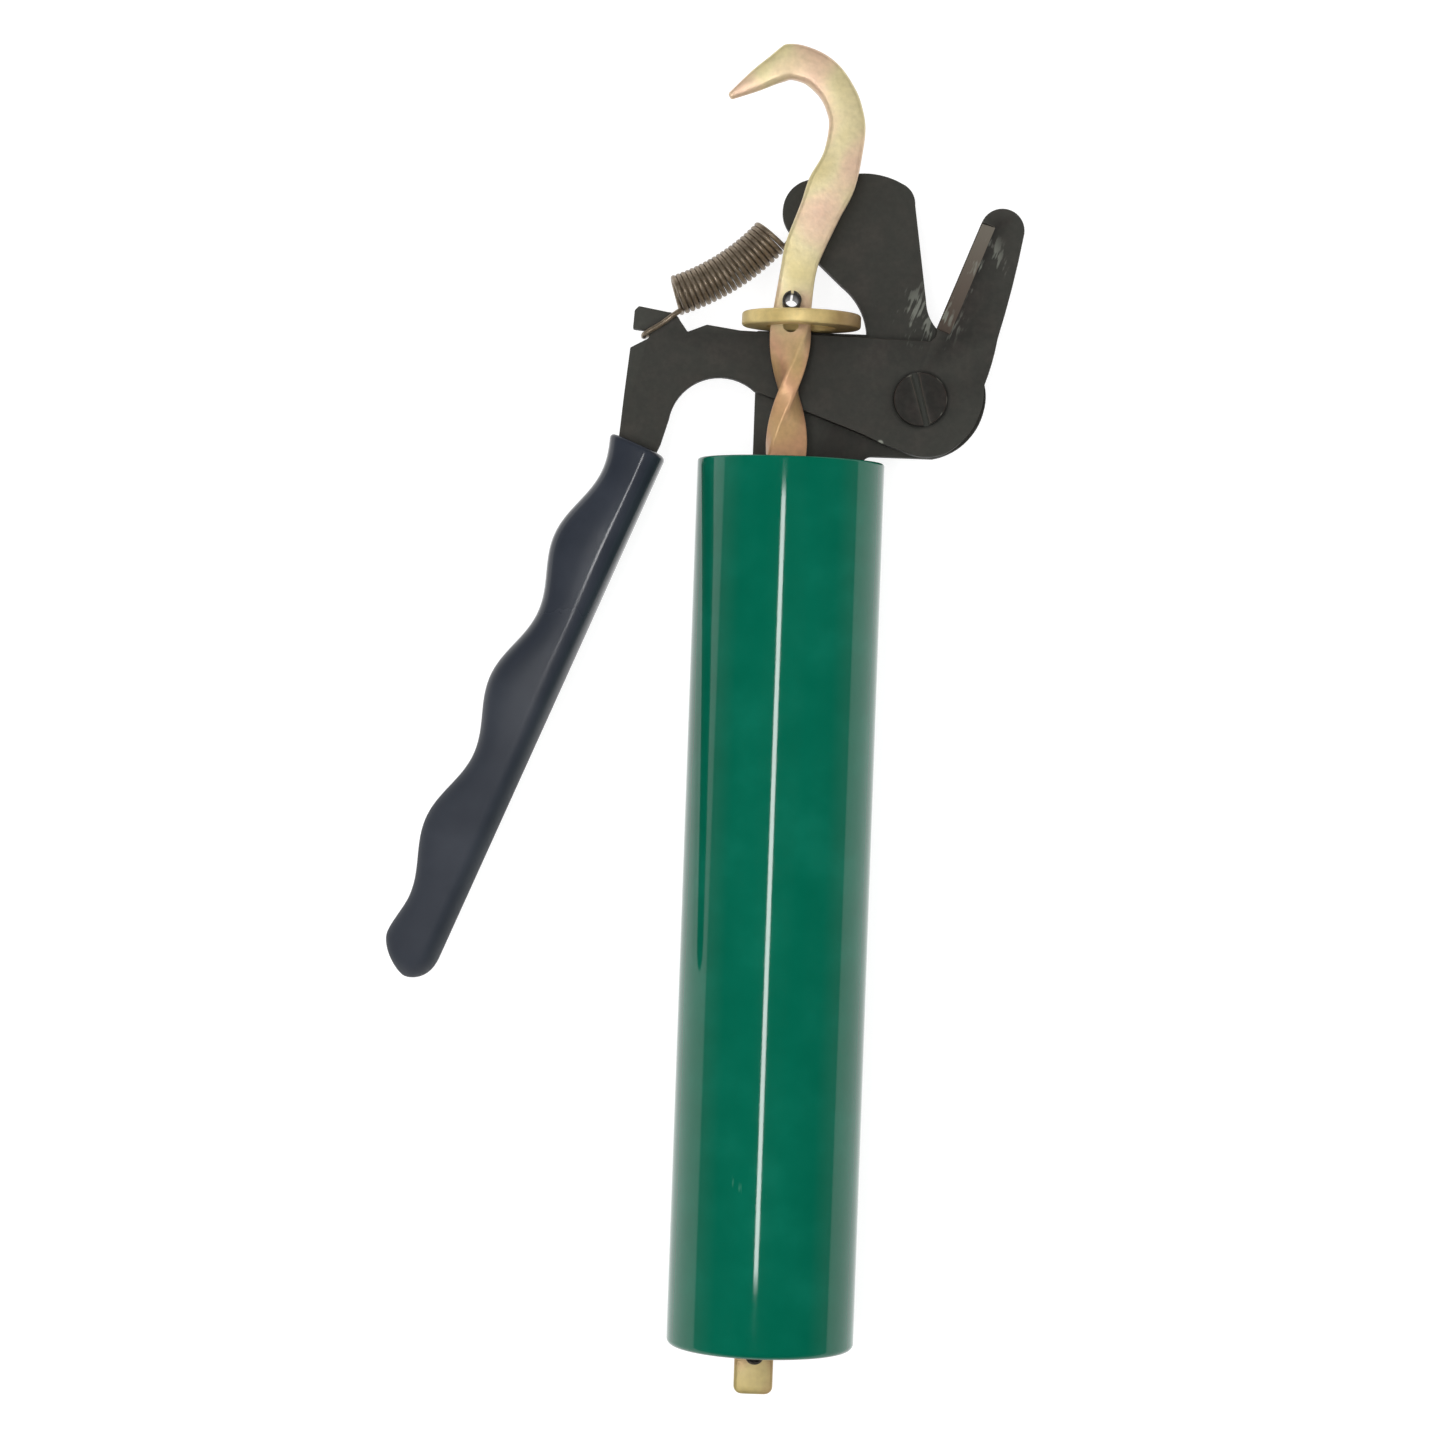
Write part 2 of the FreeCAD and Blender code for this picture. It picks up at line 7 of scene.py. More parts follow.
# %% Load the frame
import json
import math
import bmesh
import bpy
import numpy as np
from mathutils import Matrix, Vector


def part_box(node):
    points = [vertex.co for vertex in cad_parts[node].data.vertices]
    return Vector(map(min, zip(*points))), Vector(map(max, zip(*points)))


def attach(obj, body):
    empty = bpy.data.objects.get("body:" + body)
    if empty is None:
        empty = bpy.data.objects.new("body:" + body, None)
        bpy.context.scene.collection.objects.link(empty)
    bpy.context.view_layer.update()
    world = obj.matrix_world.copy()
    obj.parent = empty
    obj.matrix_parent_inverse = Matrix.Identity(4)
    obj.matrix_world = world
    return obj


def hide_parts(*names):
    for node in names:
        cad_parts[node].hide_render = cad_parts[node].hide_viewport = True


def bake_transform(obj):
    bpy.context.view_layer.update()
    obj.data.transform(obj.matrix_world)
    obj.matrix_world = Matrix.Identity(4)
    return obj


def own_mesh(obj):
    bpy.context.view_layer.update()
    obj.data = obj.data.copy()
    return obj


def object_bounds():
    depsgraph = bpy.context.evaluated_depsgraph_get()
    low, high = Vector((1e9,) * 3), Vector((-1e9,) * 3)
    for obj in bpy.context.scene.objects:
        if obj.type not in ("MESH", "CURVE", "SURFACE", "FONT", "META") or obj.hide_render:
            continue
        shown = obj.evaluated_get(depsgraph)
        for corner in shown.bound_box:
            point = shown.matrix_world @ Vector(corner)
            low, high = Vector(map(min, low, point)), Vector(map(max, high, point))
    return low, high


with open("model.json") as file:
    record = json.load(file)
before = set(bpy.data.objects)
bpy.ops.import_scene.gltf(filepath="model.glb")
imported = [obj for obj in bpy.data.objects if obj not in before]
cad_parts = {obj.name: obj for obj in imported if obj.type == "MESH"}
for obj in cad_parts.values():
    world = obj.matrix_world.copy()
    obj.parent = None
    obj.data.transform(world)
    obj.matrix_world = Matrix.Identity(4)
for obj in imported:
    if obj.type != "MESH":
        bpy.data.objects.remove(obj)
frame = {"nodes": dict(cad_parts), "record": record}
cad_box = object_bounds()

MM = 0.001
body_of = {node: body for body, nodes in frame["record"]["behaviour"]["bodies"].items() for node in nodes}
print("nodes", len(frame["nodes"]), "box in mm", [round(v / MM, 1) for corner in cad_box for v in corner])

# %% [markdown]
# ## The camera
# A camera is made before anything else, so that each piece can be looked at as soon as it exists.
# It hangs 650 mm over the tool and looks straight down with a longish lens, as on a copy stand.
# Its roll is a small turn about the line of sight.

# %% Camera
camera_data = bpy.data.cameras.new("copy_stand")
camera_data.lens = 100.8
camera_data.sensor_width = 36
camera = bpy.data.objects.new("copy_stand", camera_data)
camera.location = Vector((-9.5, 99.75, 649)) * MM
camera.rotation_euler = (0, 0, math.radians(2.046))
bpy.context.scene.collection.objects.link(camera)
bpy.context.scene.camera = camera
print("camera at", [round(v / MM, 1) for v in camera.location], "mm")

# %% [markdown]
# ## Places that the pieces share
# A piece fits the model only if its sizes come from the model.

# %% Shared places, in millimetres
def corners(node):
    """Lowest and highest corner of a node, in millimetres."""
    return [np.array(corner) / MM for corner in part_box(node)]


def middle(node):
    """The centre of a node, in millimetres."""
    return sum(corners(node)) / 2


bar_line = middle("upper_stop_pin")             # a point on the bar's centre line
tube_low, tube_high = corners("handle_tube")
tube_radius = (tube_high[0] - tube_low[0]) / 2
tube_length = tube_high[1]
lever_back, lever_front = (corner[2] for corner in corners("lever_plate"))
jaw_back, jaw_front = (corner[2] for corner in corners("fixed_jaw"))
print("bar line x", round(bar_line[0], 2), "z", round(bar_line[2], 2), "tube radius", round(tube_radius, 2))

# %% [markdown]
# ## From a grid of numbers to a piece
# Each new surface is a grid: row i and column j of an array hold one point. Neighbours make a
# four-sided face, and a grid that closes on itself wraps round at its edge. Numpy works out all the
# points at once, which is quick and keeps the shape's formula in plain sight. Normals are turned
# outwards afterwards, and faces that meet at less than 35 degrees are shaded as one smooth skin.

# %% Grid to piece
def new_piece(name, mesh):
    """Puts a mesh into the scene, with its faces turned outwards."""
    work = bmesh.new()
    work.from_mesh(mesh)
    bmesh.ops.recalc_face_normals(work, faces=work.faces)
    work.to_mesh(mesh)
    work.free()
    piece = bpy.data.objects.new(name, mesh)
    bpy.context.scene.collection.objects.link(piece)
    return piece


def grid_piece(name, points, close_rows=False, close_columns=True, caps=True):
    """A piece from points[row, column] in millimetres. Caps fill the first and the last row."""
    rows, columns = points.shape[:2]
    here = np.arange(rows * columns).reshape(rows, columns)
    below = np.roll(here, -1, axis=0)
    quads = np.stack([here, below, np.roll(below, -1, axis=1), np.roll(here, -1, axis=1)], axis=-1)
    quads = quads if close_rows else quads[:-1]
    quads = quads if close_columns else quads[:, :-1]
    faces = quads.reshape(-1, 4).tolist()
    if caps:
        faces += [here[0].tolist(), here[-1].tolist()]
    mesh = bpy.data.meshes.new(name)
    mesh.from_pydata((points.reshape(-1, 3) * MM).tolist(), [], faces)
    return new_piece(name, mesh)


def bake(piece):
    """Applies the piece's modifiers to its mesh."""
    graph = bpy.context.evaluated_depsgraph_get()
    graph.update()
    baked = bpy.data.meshes.new_from_object(piece.evaluated_get(graph))
    piece.modifiers.clear()
    piece.data = baked
    return piece


def bake_and_smooth(piece, angle=35):
    """Bakes the piece and shades it smooth, apart from corners sharper than the angle."""
    bake(piece)
    piece.data.shade_smooth()
    piece.data.set_sharp_from_angle(angle=math.radians(angle))
    return piece


# %% [markdown]
# ## Putting a piece in its node's place
# The finished piece hides its plain twin, moves with the same body and wears its finish.
# One function says all three, so no piece can be forgotten at a joint.

# %% Standing in for a node
def stand_in(piece, node, material):
    """The piece is shown in place of the node, moves with its body and wears the material. The lever
    spring is not attached to any body."""
    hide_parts(node)
    if node != "lever_spring":
        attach(piece, body_of[node])
    piece.data.materials.clear()
    piece.data.materials.append(material)
    print(f"{piece.name}: {len(piece.data.polygons)} faces, moves with {body_of[node]}")
    return piece


# %% [markdown]
# ## Drilling holes
# A drilled hole is easiest as a Boolean: a round cutter is taken out of the piece, and the cutter is
# then thrown away. The cutter is a grid too, a circle carried along the drill's line.

# %% Drilling
def drill(piece, radius, start, end, sides=48):
    """Takes a round hole out of the piece, from one point to the other, in millimetres."""
    start, end = np.array(start, float), np.array(end, float)
    line = (end - start) / np.linalg.norm(end - start)
    across = np.cross(line, [0.3, 0.5, 0.8])
    across /= np.linalg.norm(across)
    turn = np.linspace(0, 2 * np.pi, sides, endpoint=False)[None, :, None]
    rim = radius * (np.cos(turn) * across + np.sin(turn) * np.cross(line, across))
    cutter = grid_piece("drill", np.stack([start, end])[:, None, :] + rim)
    cut(piece, cutter)


def cut(piece, cutter):
    """Takes the cutter's space out of the piece, and removes the cutter."""
    hole = piece.modifiers.new("hole", "BOOLEAN")
    hole.object = cutter
    hole.solver = "EXACT"
    bake_and_smooth(piece)
    bpy.data.objects.remove(cutter)


# %% [markdown]
# ## Turned pieces
# A tube, a washer and a roll pin are all one profile carried round an axis, as on a lathe.
# The profile is a closed loop of radius and height with each corner rounded by an arc. A roll pin is
# bent from strip and doesn't quite close, so the same function can stop short of a full turn.

# %% Lathe
def rounded_loop(points, radii, steps=6):
    """A closed loop through the corners, each replaced by an arc: it starts at r / tan(half the angle)
    from the corner, and its centre is r / sin(half the angle) along the angle's bisector."""
    loop = []
    points = [np.array(point, float) for point in points]
    for before, corner, after, radius in zip(points[-1:] + points[:-1], points, points[1:] + points[:1], radii):
        back = (before - corner) / np.linalg.norm(before - corner)
        ahead = (after - corner) / np.linalg.norm(after - corner)
        half = math.acos(np.clip(back @ ahead, -1, 1)) / 2
        bisector = (back + ahead) / np.linalg.norm(back + ahead)
        centre = corner + bisector * radius / math.sin(half)
        first = corner + back * radius / math.tan(half) - centre
        last = corner + ahead * radius / math.tan(half) - centre
        share = np.linspace(0, 1, steps)[:, None]
        spread = math.pi - 2 * half
        arc = (np.sin((1 - share) * spread) * first + np.sin(share * spread) * last) / math.sin(spread)
        loop.append(centre + arc)
    return np.concatenate(loop)


def lathe(name, profile, centre, axis, first=0.0, turn=360.0, count=96):
    """The profile's (radius, height) points carried round the axis: centre + r (cos a e1 + sin a e2) + h axis."""
    axis = np.array(axis, float)
    e1 = np.array([1.0, 0, 0])
    e2 = np.cross(axis, e1)
    whole = turn == 360.0
    a = np.radians(first + np.linspace(0, turn, count, endpoint=not whole))[:, None, None]
    r, h = profile[None, :, 0, None], profile[None, :, 1, None]
    points = np.array(centre) + r * (np.cos(a) * e1 + np.sin(a) * e2) + h * axis
    return grid_piece(name, points, close_rows=whole, caps=not whole)


# %% [markdown]
# ## Bars and wires
# The hook, the grip and both springs are a section carried along a line. A bar's section needs two
# directions at every station, one across its width and one through its thickness. A round wire needs
# only one hint of which way is sideways, and the rest follows from the line's own direction.

# %% Sweeps
def unit(vectors):
    """Each vector divided by its length."""
    return vectors / np.linalg.norm(vectors, axis=-1, keepdims=True)


def wire(name, line, radius, hint, sides=12):
    """A round wire: each ring stands square to the line, its first point on the side that the hint gives."""
    along = unit(np.gradient(line, axis=0))
    side = unit(hint - np.sum(hint * along, axis=1, keepdims=True) * along)
    up = np.cross(along, side)
    turn = np.linspace(0, 2 * np.pi, sides, endpoint=False)[None, :, None]
    rings = line[:, None, :] + radius * (np.cos(turn) * side[:, None, :] + np.sin(turn) * up[:, None, :])
    return grid_piece(name, rings)


def smooth_through(points, per_span):
    """A Catmull-Rom curve: each span is a cubic whose ends lean along the line between their neighbours."""
    points = np.array(points, float)
    padded = np.concatenate([[2 * points[0] - points[1]], points, [2 * points[-1] - points[-2]]])
    p0, p1, p2, p3 = (padded[i:len(padded) - 3 + i, None, :] for i in range(4))
    t = np.linspace(0, 1, per_span, endpoint=False)[None, :, None]
    spans = p1 + t / 2 * ((p2 - p0) + t * ((2 * p0 - 5 * p1 + 4 * p2 - p3) + t * (3 * (p1 - p2) + p3 - p0)))
    return np.concatenate([spans.reshape(-1, points.shape[1]), points[-1:]])


# %% [markdown]
# ## Flat and turned parts that the model already has right
# The plates, screws and nuts have the right shape, but their edges are perfectly sharp and their mesh
# is loose triangles. A copy is welded, its flat faces are joined, and a small bevel gives each edge
# the narrow glint that a real stamped or turned edge has. Weighted normals let the large flat faces
# decide the shading at their rims, so a flat face stays flat to the eye.

# %% Welded copy of a node
def welded_copy(node, name, edge):
    """A copy of a node's mesh, welded, with its edges rounded by `edge` millimetres, or left sharp at 0."""
    work = bmesh.new()
    work.from_mesh(frame["nodes"][node].data)
    bmesh.ops.remove_doubles(work, verts=work.verts, dist=0.001 * MM)
    bmesh.ops.dissolve_limit(work, angle_limit=math.radians(0.5), verts=work.verts, edges=work.edges)
    mesh = bpy.data.meshes.new(name)
    work.to_mesh(mesh)
    work.free()
    piece = new_piece(name, mesh)
    if not edge:
        return bake_and_smooth(piece)
    mesh.shade_smooth()
    bevel = piece.modifiers.new("edges", "BEVEL")
    bevel.width = edge * MM
    bevel.segments = 2
    bevel.limit_method = "ANGLE"
    bevel.angle_limit = math.radians(24)      # the ground cutting edges meet their plates at 24.6 degrees
    weighted = piece.modifiers.new("flat_faces", "WEIGHTED_NORMAL")
    weighted.weight = 100
    return bake(piece)


# %% [markdown]
# ## Mixing finishes
# A finish starts from what the real surface is and how it was made. Colours are written as the hex
# codes a person reads off a screen, and one function turns them into the linear values that a
# shader needs. One more function adds a node, sets it and links it.

# %% Colour and node helpers
def colour(code):
    """Linear colour from an sRGB hex code."""
    parts = [int(code[i:i + 2], 16) / 255 for i in (1, 3, 5)]
    return [c / 12.92 if c <= 0.04045 else ((c + 0.055) / 1.055) ** 2.4 for c in parts] + [1.0]


def add(tree, kind, inputs=None, stops=None, **settings):
    """Adds a node. `inputs` maps a socket to a value or to another node's output, and `stops` are
    a ramp's positions and hex colours."""
    made = tree.nodes.new("ShaderNode" + kind)
    for key, value in settings.items():
        setattr(made, key, value)
    for socket, value in (inputs or {}).items():
        if isinstance(value, bpy.types.NodeSocket):
            tree.links.new(value, made.inputs[socket])
        else:
            made.inputs[socket].default_value = value
    if stops:
        elements = made.color_ramp.elements
        while len(elements) < len(stops):
            elements.new(0.5)
        for element, (position, code) in zip(elements, stops):
            element.position = position
            element.color = colour(code)
    return made


def start_finish(name, **shader_values):
    """A material with a Principled shader, its fixed values on the shader's own sockets."""
    material = bpy.data.materials.new(name)
    material.use_nodes = True
    tree = material.node_tree
    shader = tree.nodes["Principled BSDF"]
    for socket, value in shader_values.items():
        shader.inputs[socket.replace("_", " ")].default_value = value
    place = add(tree, "TexCoord").outputs["Object"]
    return material, tree, shader, place


def per_mm(size):
    """Scale of a noise whose patches are about `size` millimetres, on coordinates in metres."""
    return 1 / (size * MM)


# %% [markdown]
# ### Green stove enamel
# The handle is a steel tube dipped or sprayed with gloss enamel and baked. That gives a deep even
# colour, a faint orange peel that breaks the edge of a reflection, and a clear hard shine.

# %% Enamel
def make_enamel():
    finish, tree, shader, place = start_finish("green_stove_enamel", IOR=1.45)
    cloud = add(tree, "TexNoise", {"Vector": place, "Scale": per_mm(9), "Detail": 4}).outputs["Fac"]
    tint = add(tree, "ValToRGB", {0: cloud}, stops=[(0.35, "#005C46"), (0.55, "#03604A"), (0.7, "#07654F")])
    # a few small scuffs from the tool box, short and pale
    lengthways = add(tree, "Mapping", {0: place, "Scale": (1, 1 / 6, 1)}).outputs[0]
    hairs = add(tree, "TexNoise", {"Vector": lengthways, "Scale": per_mm(0.8), "Detail": 2}).outputs["Fac"]
    where = add(tree, "TexNoise", {"Vector": place, "Scale": per_mm(18), "Detail": 1}).outputs["Fac"]
    scuff = add(tree, "Math", {0: hairs, 1: where}, operation="MULTIPLY").outputs[0]
    mask = add(tree, "MapRange", {"Value": scuff, "From Min": 0.5, "From Max": 0.56, "To Max": 0.6}).outputs[0]
    worn = add(tree, "Mix", {0: mask, 6: tint.outputs[0], 7: colour("#3A7C66")}, data_type="RGBA")
    tree.links.new(worn.outputs[2], shader.inputs["Base Color"])
    haze = add(tree, "TexNoise", {"Vector": place, "Scale": per_mm(3), "Detail": 2}).outputs["Fac"]
    rough = add(tree, "MapRange", {"Value": haze, "To Min": 0.04, "To Max": 0.09})
    tree.links.new(rough.outputs[0], shader.inputs["Roughness"])
    orange = add(tree, "TexNoise", {"Vector": place, "Scale": per_mm(1.6), "Detail": 1}).outputs["Fac"]
    peel = add(tree, "Bump", {"Height": orange, "Strength": 0.05, "Distance": 0.01 * MM})
    tree.links.new(peel.outputs[0], shader.inputs["Normal"])
    return finish


enamel = make_enamel()
print("made", enamel.name)

# %% [markdown]
# ### Yellow zinc
# The bar and the stop washer are zinc plated and dipped in a yellow chromate. The film is thinner
# than light's wavelength in places, so cream turns to soft pink and yellow-green clouds. Under it the
# forged steel keeps a low hammered unevenness.

# %% Yellow zinc
def make_yellow_zinc(name, stops, metal, roughness, wear_and_shade_along, wear_and_shade_stops):
    """The last two arguments are an axis with two places on it, in millimetres, and the stops spread between them,
    which carry wear on the hook and painted shade on the washer.
    """
    finish, tree, shader, place = start_finish(name, Metallic=metal)
    lengthways = add(tree, "Mapping", {0: place, "Scale": (1, 1 / 1.6, 1)}).outputs[0]
    cloud = add(tree, "TexNoise", {"Vector": lengthways, "Scale": per_mm(8), "Detail": 1}).outputs["Fac"]
    film = add(tree, "ValToRGB", {0: cloud}, stops=stops)
    axis, low, high = wear_and_shade_along
    along = add(tree, "SeparateXYZ", {0: place}).outputs[axis]
    share = add(tree, "MapRange", {"Value": along, "From Min": low * MM, "From Max": high * MM}).outputs[0]
    # this ramp along the axis is greasy and coppery wear on the hook, and painted shade on the washer's right end
    worn = add(tree, "ValToRGB", {0: share}, stops=wear_and_shade_stops)
    aged_and_shaded = add(tree, "Mix", {0: 1.0, 6: film.outputs[0], 7: worn.outputs[0]}, data_type="RGBA",
               blend_type="MULTIPLY")
    grain = add(tree, "TexNoise", {"Vector": place, "Scale": per_mm(0.9), "Detail": 5}).outputs["Fac"]
    speck = add(tree, "MapRange", {"Value": grain, "From Min": 0.3, "From Max": 0.7, "To Min": 0.84, "To Max": 1.0})
    toned = add(tree, "Mix", {0: 1.0, 6: aged_and_shaded.outputs[2], 7: speck.outputs[0]},
                data_type="RGBA", blend_type="MULTIPLY")
    edge = add(tree, "NewGeometry").outputs["Pointiness"]
    rub = add(tree, "MapRange", {"Value": edge, "From Min": 0.5, "From Max": 0.6, "To Max": 0.25}).outputs[0]
    bright = add(tree, "Mix", {0: rub, 6: toned.outputs[2], 7: colour("#E9D9A8")}, data_type="RGBA")
    tree.links.new(bright.outputs[2], shader.inputs["Base Color"])
    rough = add(tree, "MapRange", {"Value": grain, "To Min": roughness - 0.08, "To Max": roughness + 0.1})
    tree.links.new(rough.outputs[0], shader.inputs["Roughness"])
    dents = add(tree, "TexNoise", {"Vector": place, "Scale": per_mm(3.5), "Detail": 3}).outputs["Fac"]
    hammered = add(tree, "Bump", {"Height": dents, "Strength": 0.5, "Distance": 0.25 * MM})
    tree.links.new(hammered.outputs[0], shader.inputs["Normal"])
    return finish


# the tail is greasy and golden, and the twist is rubbed coppery by the drive nut
hook_zinc = make_yellow_zinc(
    "yellow_zinc_hook", [(0.3, "#DAD09A"), (0.42, "#E1D8AE"), (0.5, "#E8D1B4"), (0.6, "#E4C5B0"), (0.72, "#E6D5B0")],
    0.35, 0.36, ("Y", -10, 210),
    [(0.0, "#C8BC9C"), (0.08, "#C8B694"), (0.12, "#DCBCA0"), (0.76, "#E6C8AC"), (0.82, "#FAF4F0"), (1.0, "#F8F2E8")])
# on the washer the ramp darkens the right end to reddish-brown along X: painted shade, where the washer passes into
# the jaw's shadow
washer_zinc = make_yellow_zinc(
    "yellow_zinc_washer", [(0.3, "#E0C884"), (0.5, "#EBD696"), (0.7, "#D8C082")],
    0.35, 0.42, ("X", -10, 11), [(0.0, "#F4F0E8"), (0.66, "#F4EEE6"), (0.8, "#B0A094"), (1.0, "#8E7A70")])
print("made", hook_zinc.name, washer_zinc.name)

# %% [markdown]
# ### Black oxide
# Both cutter plates are stamped steel, hardened and blacked in hot salts. Oil stays in the rough
# skin, so the black is uneven, browner in patches and greener in others, and edges and the tracks
# where the blades pass each other rub through to grey.

# %% Masks for the wear and for painted shade
def near(tree, place, point, outer, inner):
    """1 within `inner` millimetres of a point, fading to 0 at `outer`."""
    gap = add(tree, "VectorMath", {0: place, 1: Vector(point) * MM}, operation="DISTANCE").outputs["Value"]
    return add(tree, "MapRange", {"Value": gap, "From Min": outer * MM, "From Max": inner * MM}).outputs[0]


def ground_edges(tree):
    """1 on the cutting edges, ground at 24.6 degrees. The upright part of a face's normal is the
    cosine of its slope."""
    ground_slope = 0.909
    slope = add(tree, "SeparateXYZ", {0: add(tree, "TexCoord").outputs["Normal"]}).outputs["Z"]
    off = add(tree, "Math", {0: slope, 1: ground_slope}, operation="SUBTRACT").outputs[0]
    off = add(tree, "Math", {0: off}, operation="ABSOLUTE").outputs[0]
    return add(tree, "MapRange", {"Value": off, "From Min": 0.03, "From Max": 0.012}).outputs[0]


def blade_scratches(tree, place):
    """Thin scratches lean with the prong, where wire has been drawn across the two blades."""
    leaning = add(tree, "Mapping", {0: place, "Rotation": (0, 0, math.radians(20))}).outputs[0]
    leaning = add(tree, "Mapping", {0: leaning, "Scale": (1, 1 / 8, 1)}).outputs[0]
    hairs = add(tree, "TexNoise", {"Vector": leaning, "Scale": per_mm(0.5), "Detail": 3}).outputs["Fac"]
    where = add(tree, "TexNoise", {"Vector": place, "Scale": per_mm(3), "Detail": 2}).outputs["Fac"]
    drawn = add(tree, "Math", {0: hairs, 1: where}, operation="MULTIPLY").outputs[0]
    scratch = add(tree, "MapRange", {"Value": drawn, "From Min": 0.28, "From Max": 0.36, "To Max": 0.6}).outputs[0]
    root = near(tree, place, (21.3, 166.5, -2), 7, 3)
    prong = near(tree, place, (28.2, 175, -0.4), 6.5, 3)
    blades = add(tree, "Math", {0: root, 1: prong}, operation="MAXIMUM").outputs[0]
    return add(tree, "Math", {0: scratch, 1: blades}, operation="MULTIPLY").outputs[0]


def screw_painted_shade(tree, place):
    """1 below the top of the pivot screw's head, on its slot's floor and in the corner round it, where shade is
    painted.
    """
    screw_low, screw_high = corners("pivot_screw")
    head_centre = middle("pivot_screw")
    head_centre[2] = head_top = screw_high[2]
    head_radius = (screw_high[0] - screw_low[0]) / 2
    height = add(tree, "SeparateXYZ", {0: place}).outputs["Z"]
    low = add(tree, "MapRange", {"Value": height, "From Min": (head_top - 0.1) * MM,
                                 "From Max": (head_top - 0.3) * MM}).outputs[0]
    ring = near(tree, place, head_centre, head_radius + 0.9, head_radius + 0.3)
    return add(tree, "Math", {0: low, 1: ring}, operation="MULTIPLY").outputs[0]


# the dark slot and the dark ring round the screw are painted shade
print("wear sits on the ground edges, the blades and round a screw", corners("pivot_screw")[1].round(1))

# %% [markdown]
# The finish lays these over each other: black skin, then bare ground steel, then painted shade in the screw's slot
# and round its head, and last the grey of rubbed corners, scratches and one nick where the front plate's edge was
# knocked.

# %% Black oxide
def make_black_oxide():
    finish, tree, shader, place = start_finish("black_oxide", Specular_IOR_Level=0.22)
    cloud = add(tree, "TexNoise", {"Vector": place, "Scale": per_mm(6), "Detail": 5}).outputs["Fac"]
    tone = add(tree, "ValToRGB", {0: cloud}, stops=[(0.32, "#2C2825"), (0.5, "#272623"), (0.66, "#2F2B28")])
    grain = add(tree, "TexNoise", {"Vector": place, "Scale": per_mm(0.8), "Detail": 6}).outputs["Fac"]
    speck = add(tree, "MapRange", {"Value": grain, "From Min": 0.35, "From Max": 0.7, "To Min": 0.76, "To Max": 1.14})
    toned = add(tree, "Mix", {0: 1.0, 6: tone.outputs[0], 7: speck.outputs[0]},
                data_type="RGBA", blend_type="MULTIPLY").outputs[2]
    # the ground steel is brownish, and brighter up the prong
    up = add(tree, "SeparateXYZ", {0: place}).outputs["Y"]
    rise = add(tree, "MapRange", {"Value": up, "From Min": 160 * MM, "From Max": 182 * MM}).outputs[0]
    steel = add(tree, "ValToRGB", {0: rise}, stops=[(0.0, "#3E342E"), (0.5, "#574E46"), (1.0, "#69645B")])
    bared = add(tree, "Mix", {0: ground_edges(tree), 6: toned, 7: steel.outputs[0]}, data_type="RGBA").outputs[2]
    # painted shade: near-black in the screw's slot and in a ring round its head
    with_screw_shade = add(tree, "Mix", {0: screw_painted_shade(tree, place), 6: bared, 7: colour("#100F0E")},
                 data_type="RGBA").outputs[2]
    edge = add(tree, "NewGeometry").outputs["Pointiness"]
    rub = add(tree, "MapRange", {"Value": edge, "From Min": 0.52, "From Max": 0.62, "To Max": 0.3}).outputs[0]
    wear = add(tree, "Math", {0: rub, 1: blade_scratches(tree, place)}, operation="MAXIMUM").outputs[0]
    nick = near(tree, place, (14.2, 145.5, -0.4), 0.6, 0.3)
    wear = add(tree, "Math", {0: wear, 1: nick}, operation="MAXIMUM").outputs[0]
    worn = add(tree, "Mix", {0: wear, 6: with_screw_shade, 7: colour("#83867C")}, data_type="RGBA")
    tree.links.new(worn.outputs[2], shader.inputs["Base Color"])
    rough = add(tree, "MapRange", {"Value": grain, "To Min": 0.55, "To Max": 0.75})
    tree.links.new(rough.outputs[0], shader.inputs["Roughness"])
    skin = add(tree, "Bump", {"Height": grain, "Strength": 0.25, "Distance": 0.05 * MM})
    tree.links.new(skin.outputs[0], shader.inputs["Normal"])
    return finish


black_oxide = make_black_oxide()
print("made", black_oxide.name)

# %% [markdown]
# ### Dipped plastic
# The grip is soft vinyl: the hot lever was dipped in a bath of it and baked. The skin flows before
# it sets, so it is smooth, very dark blue, and shines in one clean line along its crest.

# %% Dipped plastic
def make_vinyl():
    finish, tree, shader, place = start_finish("dipped_vinyl", IOR=1.42)
    cloud = add(tree, "TexNoise", {"Vector": place, "Scale": per_mm(12), "Detail": 3}).outputs["Fac"]
    tint = add(tree, "ValToRGB", {0: cloud}, stops=[(0.35, "#2C3038"), (0.65, "#343840")])
    tree.links.new(tint.outputs[0], shader.inputs["Base Color"])
    # the lower half is dulled by the hand
    along = add(tree, "SeparateXYZ", {0: place}).outputs["Y"]
    held = add(tree, "MapRange", {"Value": along, "From Min": 125 * MM, "From Max": 85 * MM,
                                  "To Max": 0.5}).outputs[0]
    smear = add(tree, "TexNoise", {"Vector": place, "Scale": per_mm(2), "Detail": 3}).outputs["Fac"]
    skin = add(tree, "MapRange", {"Value": smear, "To Min": 0.13, "To Max": 0.2}).outputs[0]
    rough = add(tree, "Math", {0: held, 1: skin}, operation="ADD")
    tree.links.new(rough.outputs[0], shader.inputs["Roughness"])
    ripple = add(tree, "TexNoise", {"Vector": place, "Scale": per_mm(6), "Detail": 1}).outputs["Fac"]
    flow = add(tree, "Bump", {"Height": ripple, "Strength": 0.15, "Distance": 0.03 * MM})
    tree.links.new(flow.outputs[0], shader.inputs["Normal"])
    return finish


vinyl = make_vinyl()
print("made", vinyl.name)

# %% [markdown]
# ### Bare and plated metals
# Spring wire is drawn and tempered, which leaves a brown skin with fine lines along the wire. The
# inner parts are bright zinc, a cool even silver, or turned brass. They share one recipe: two close
# tones mixed by a fine pattern, and a roughness that follows it.

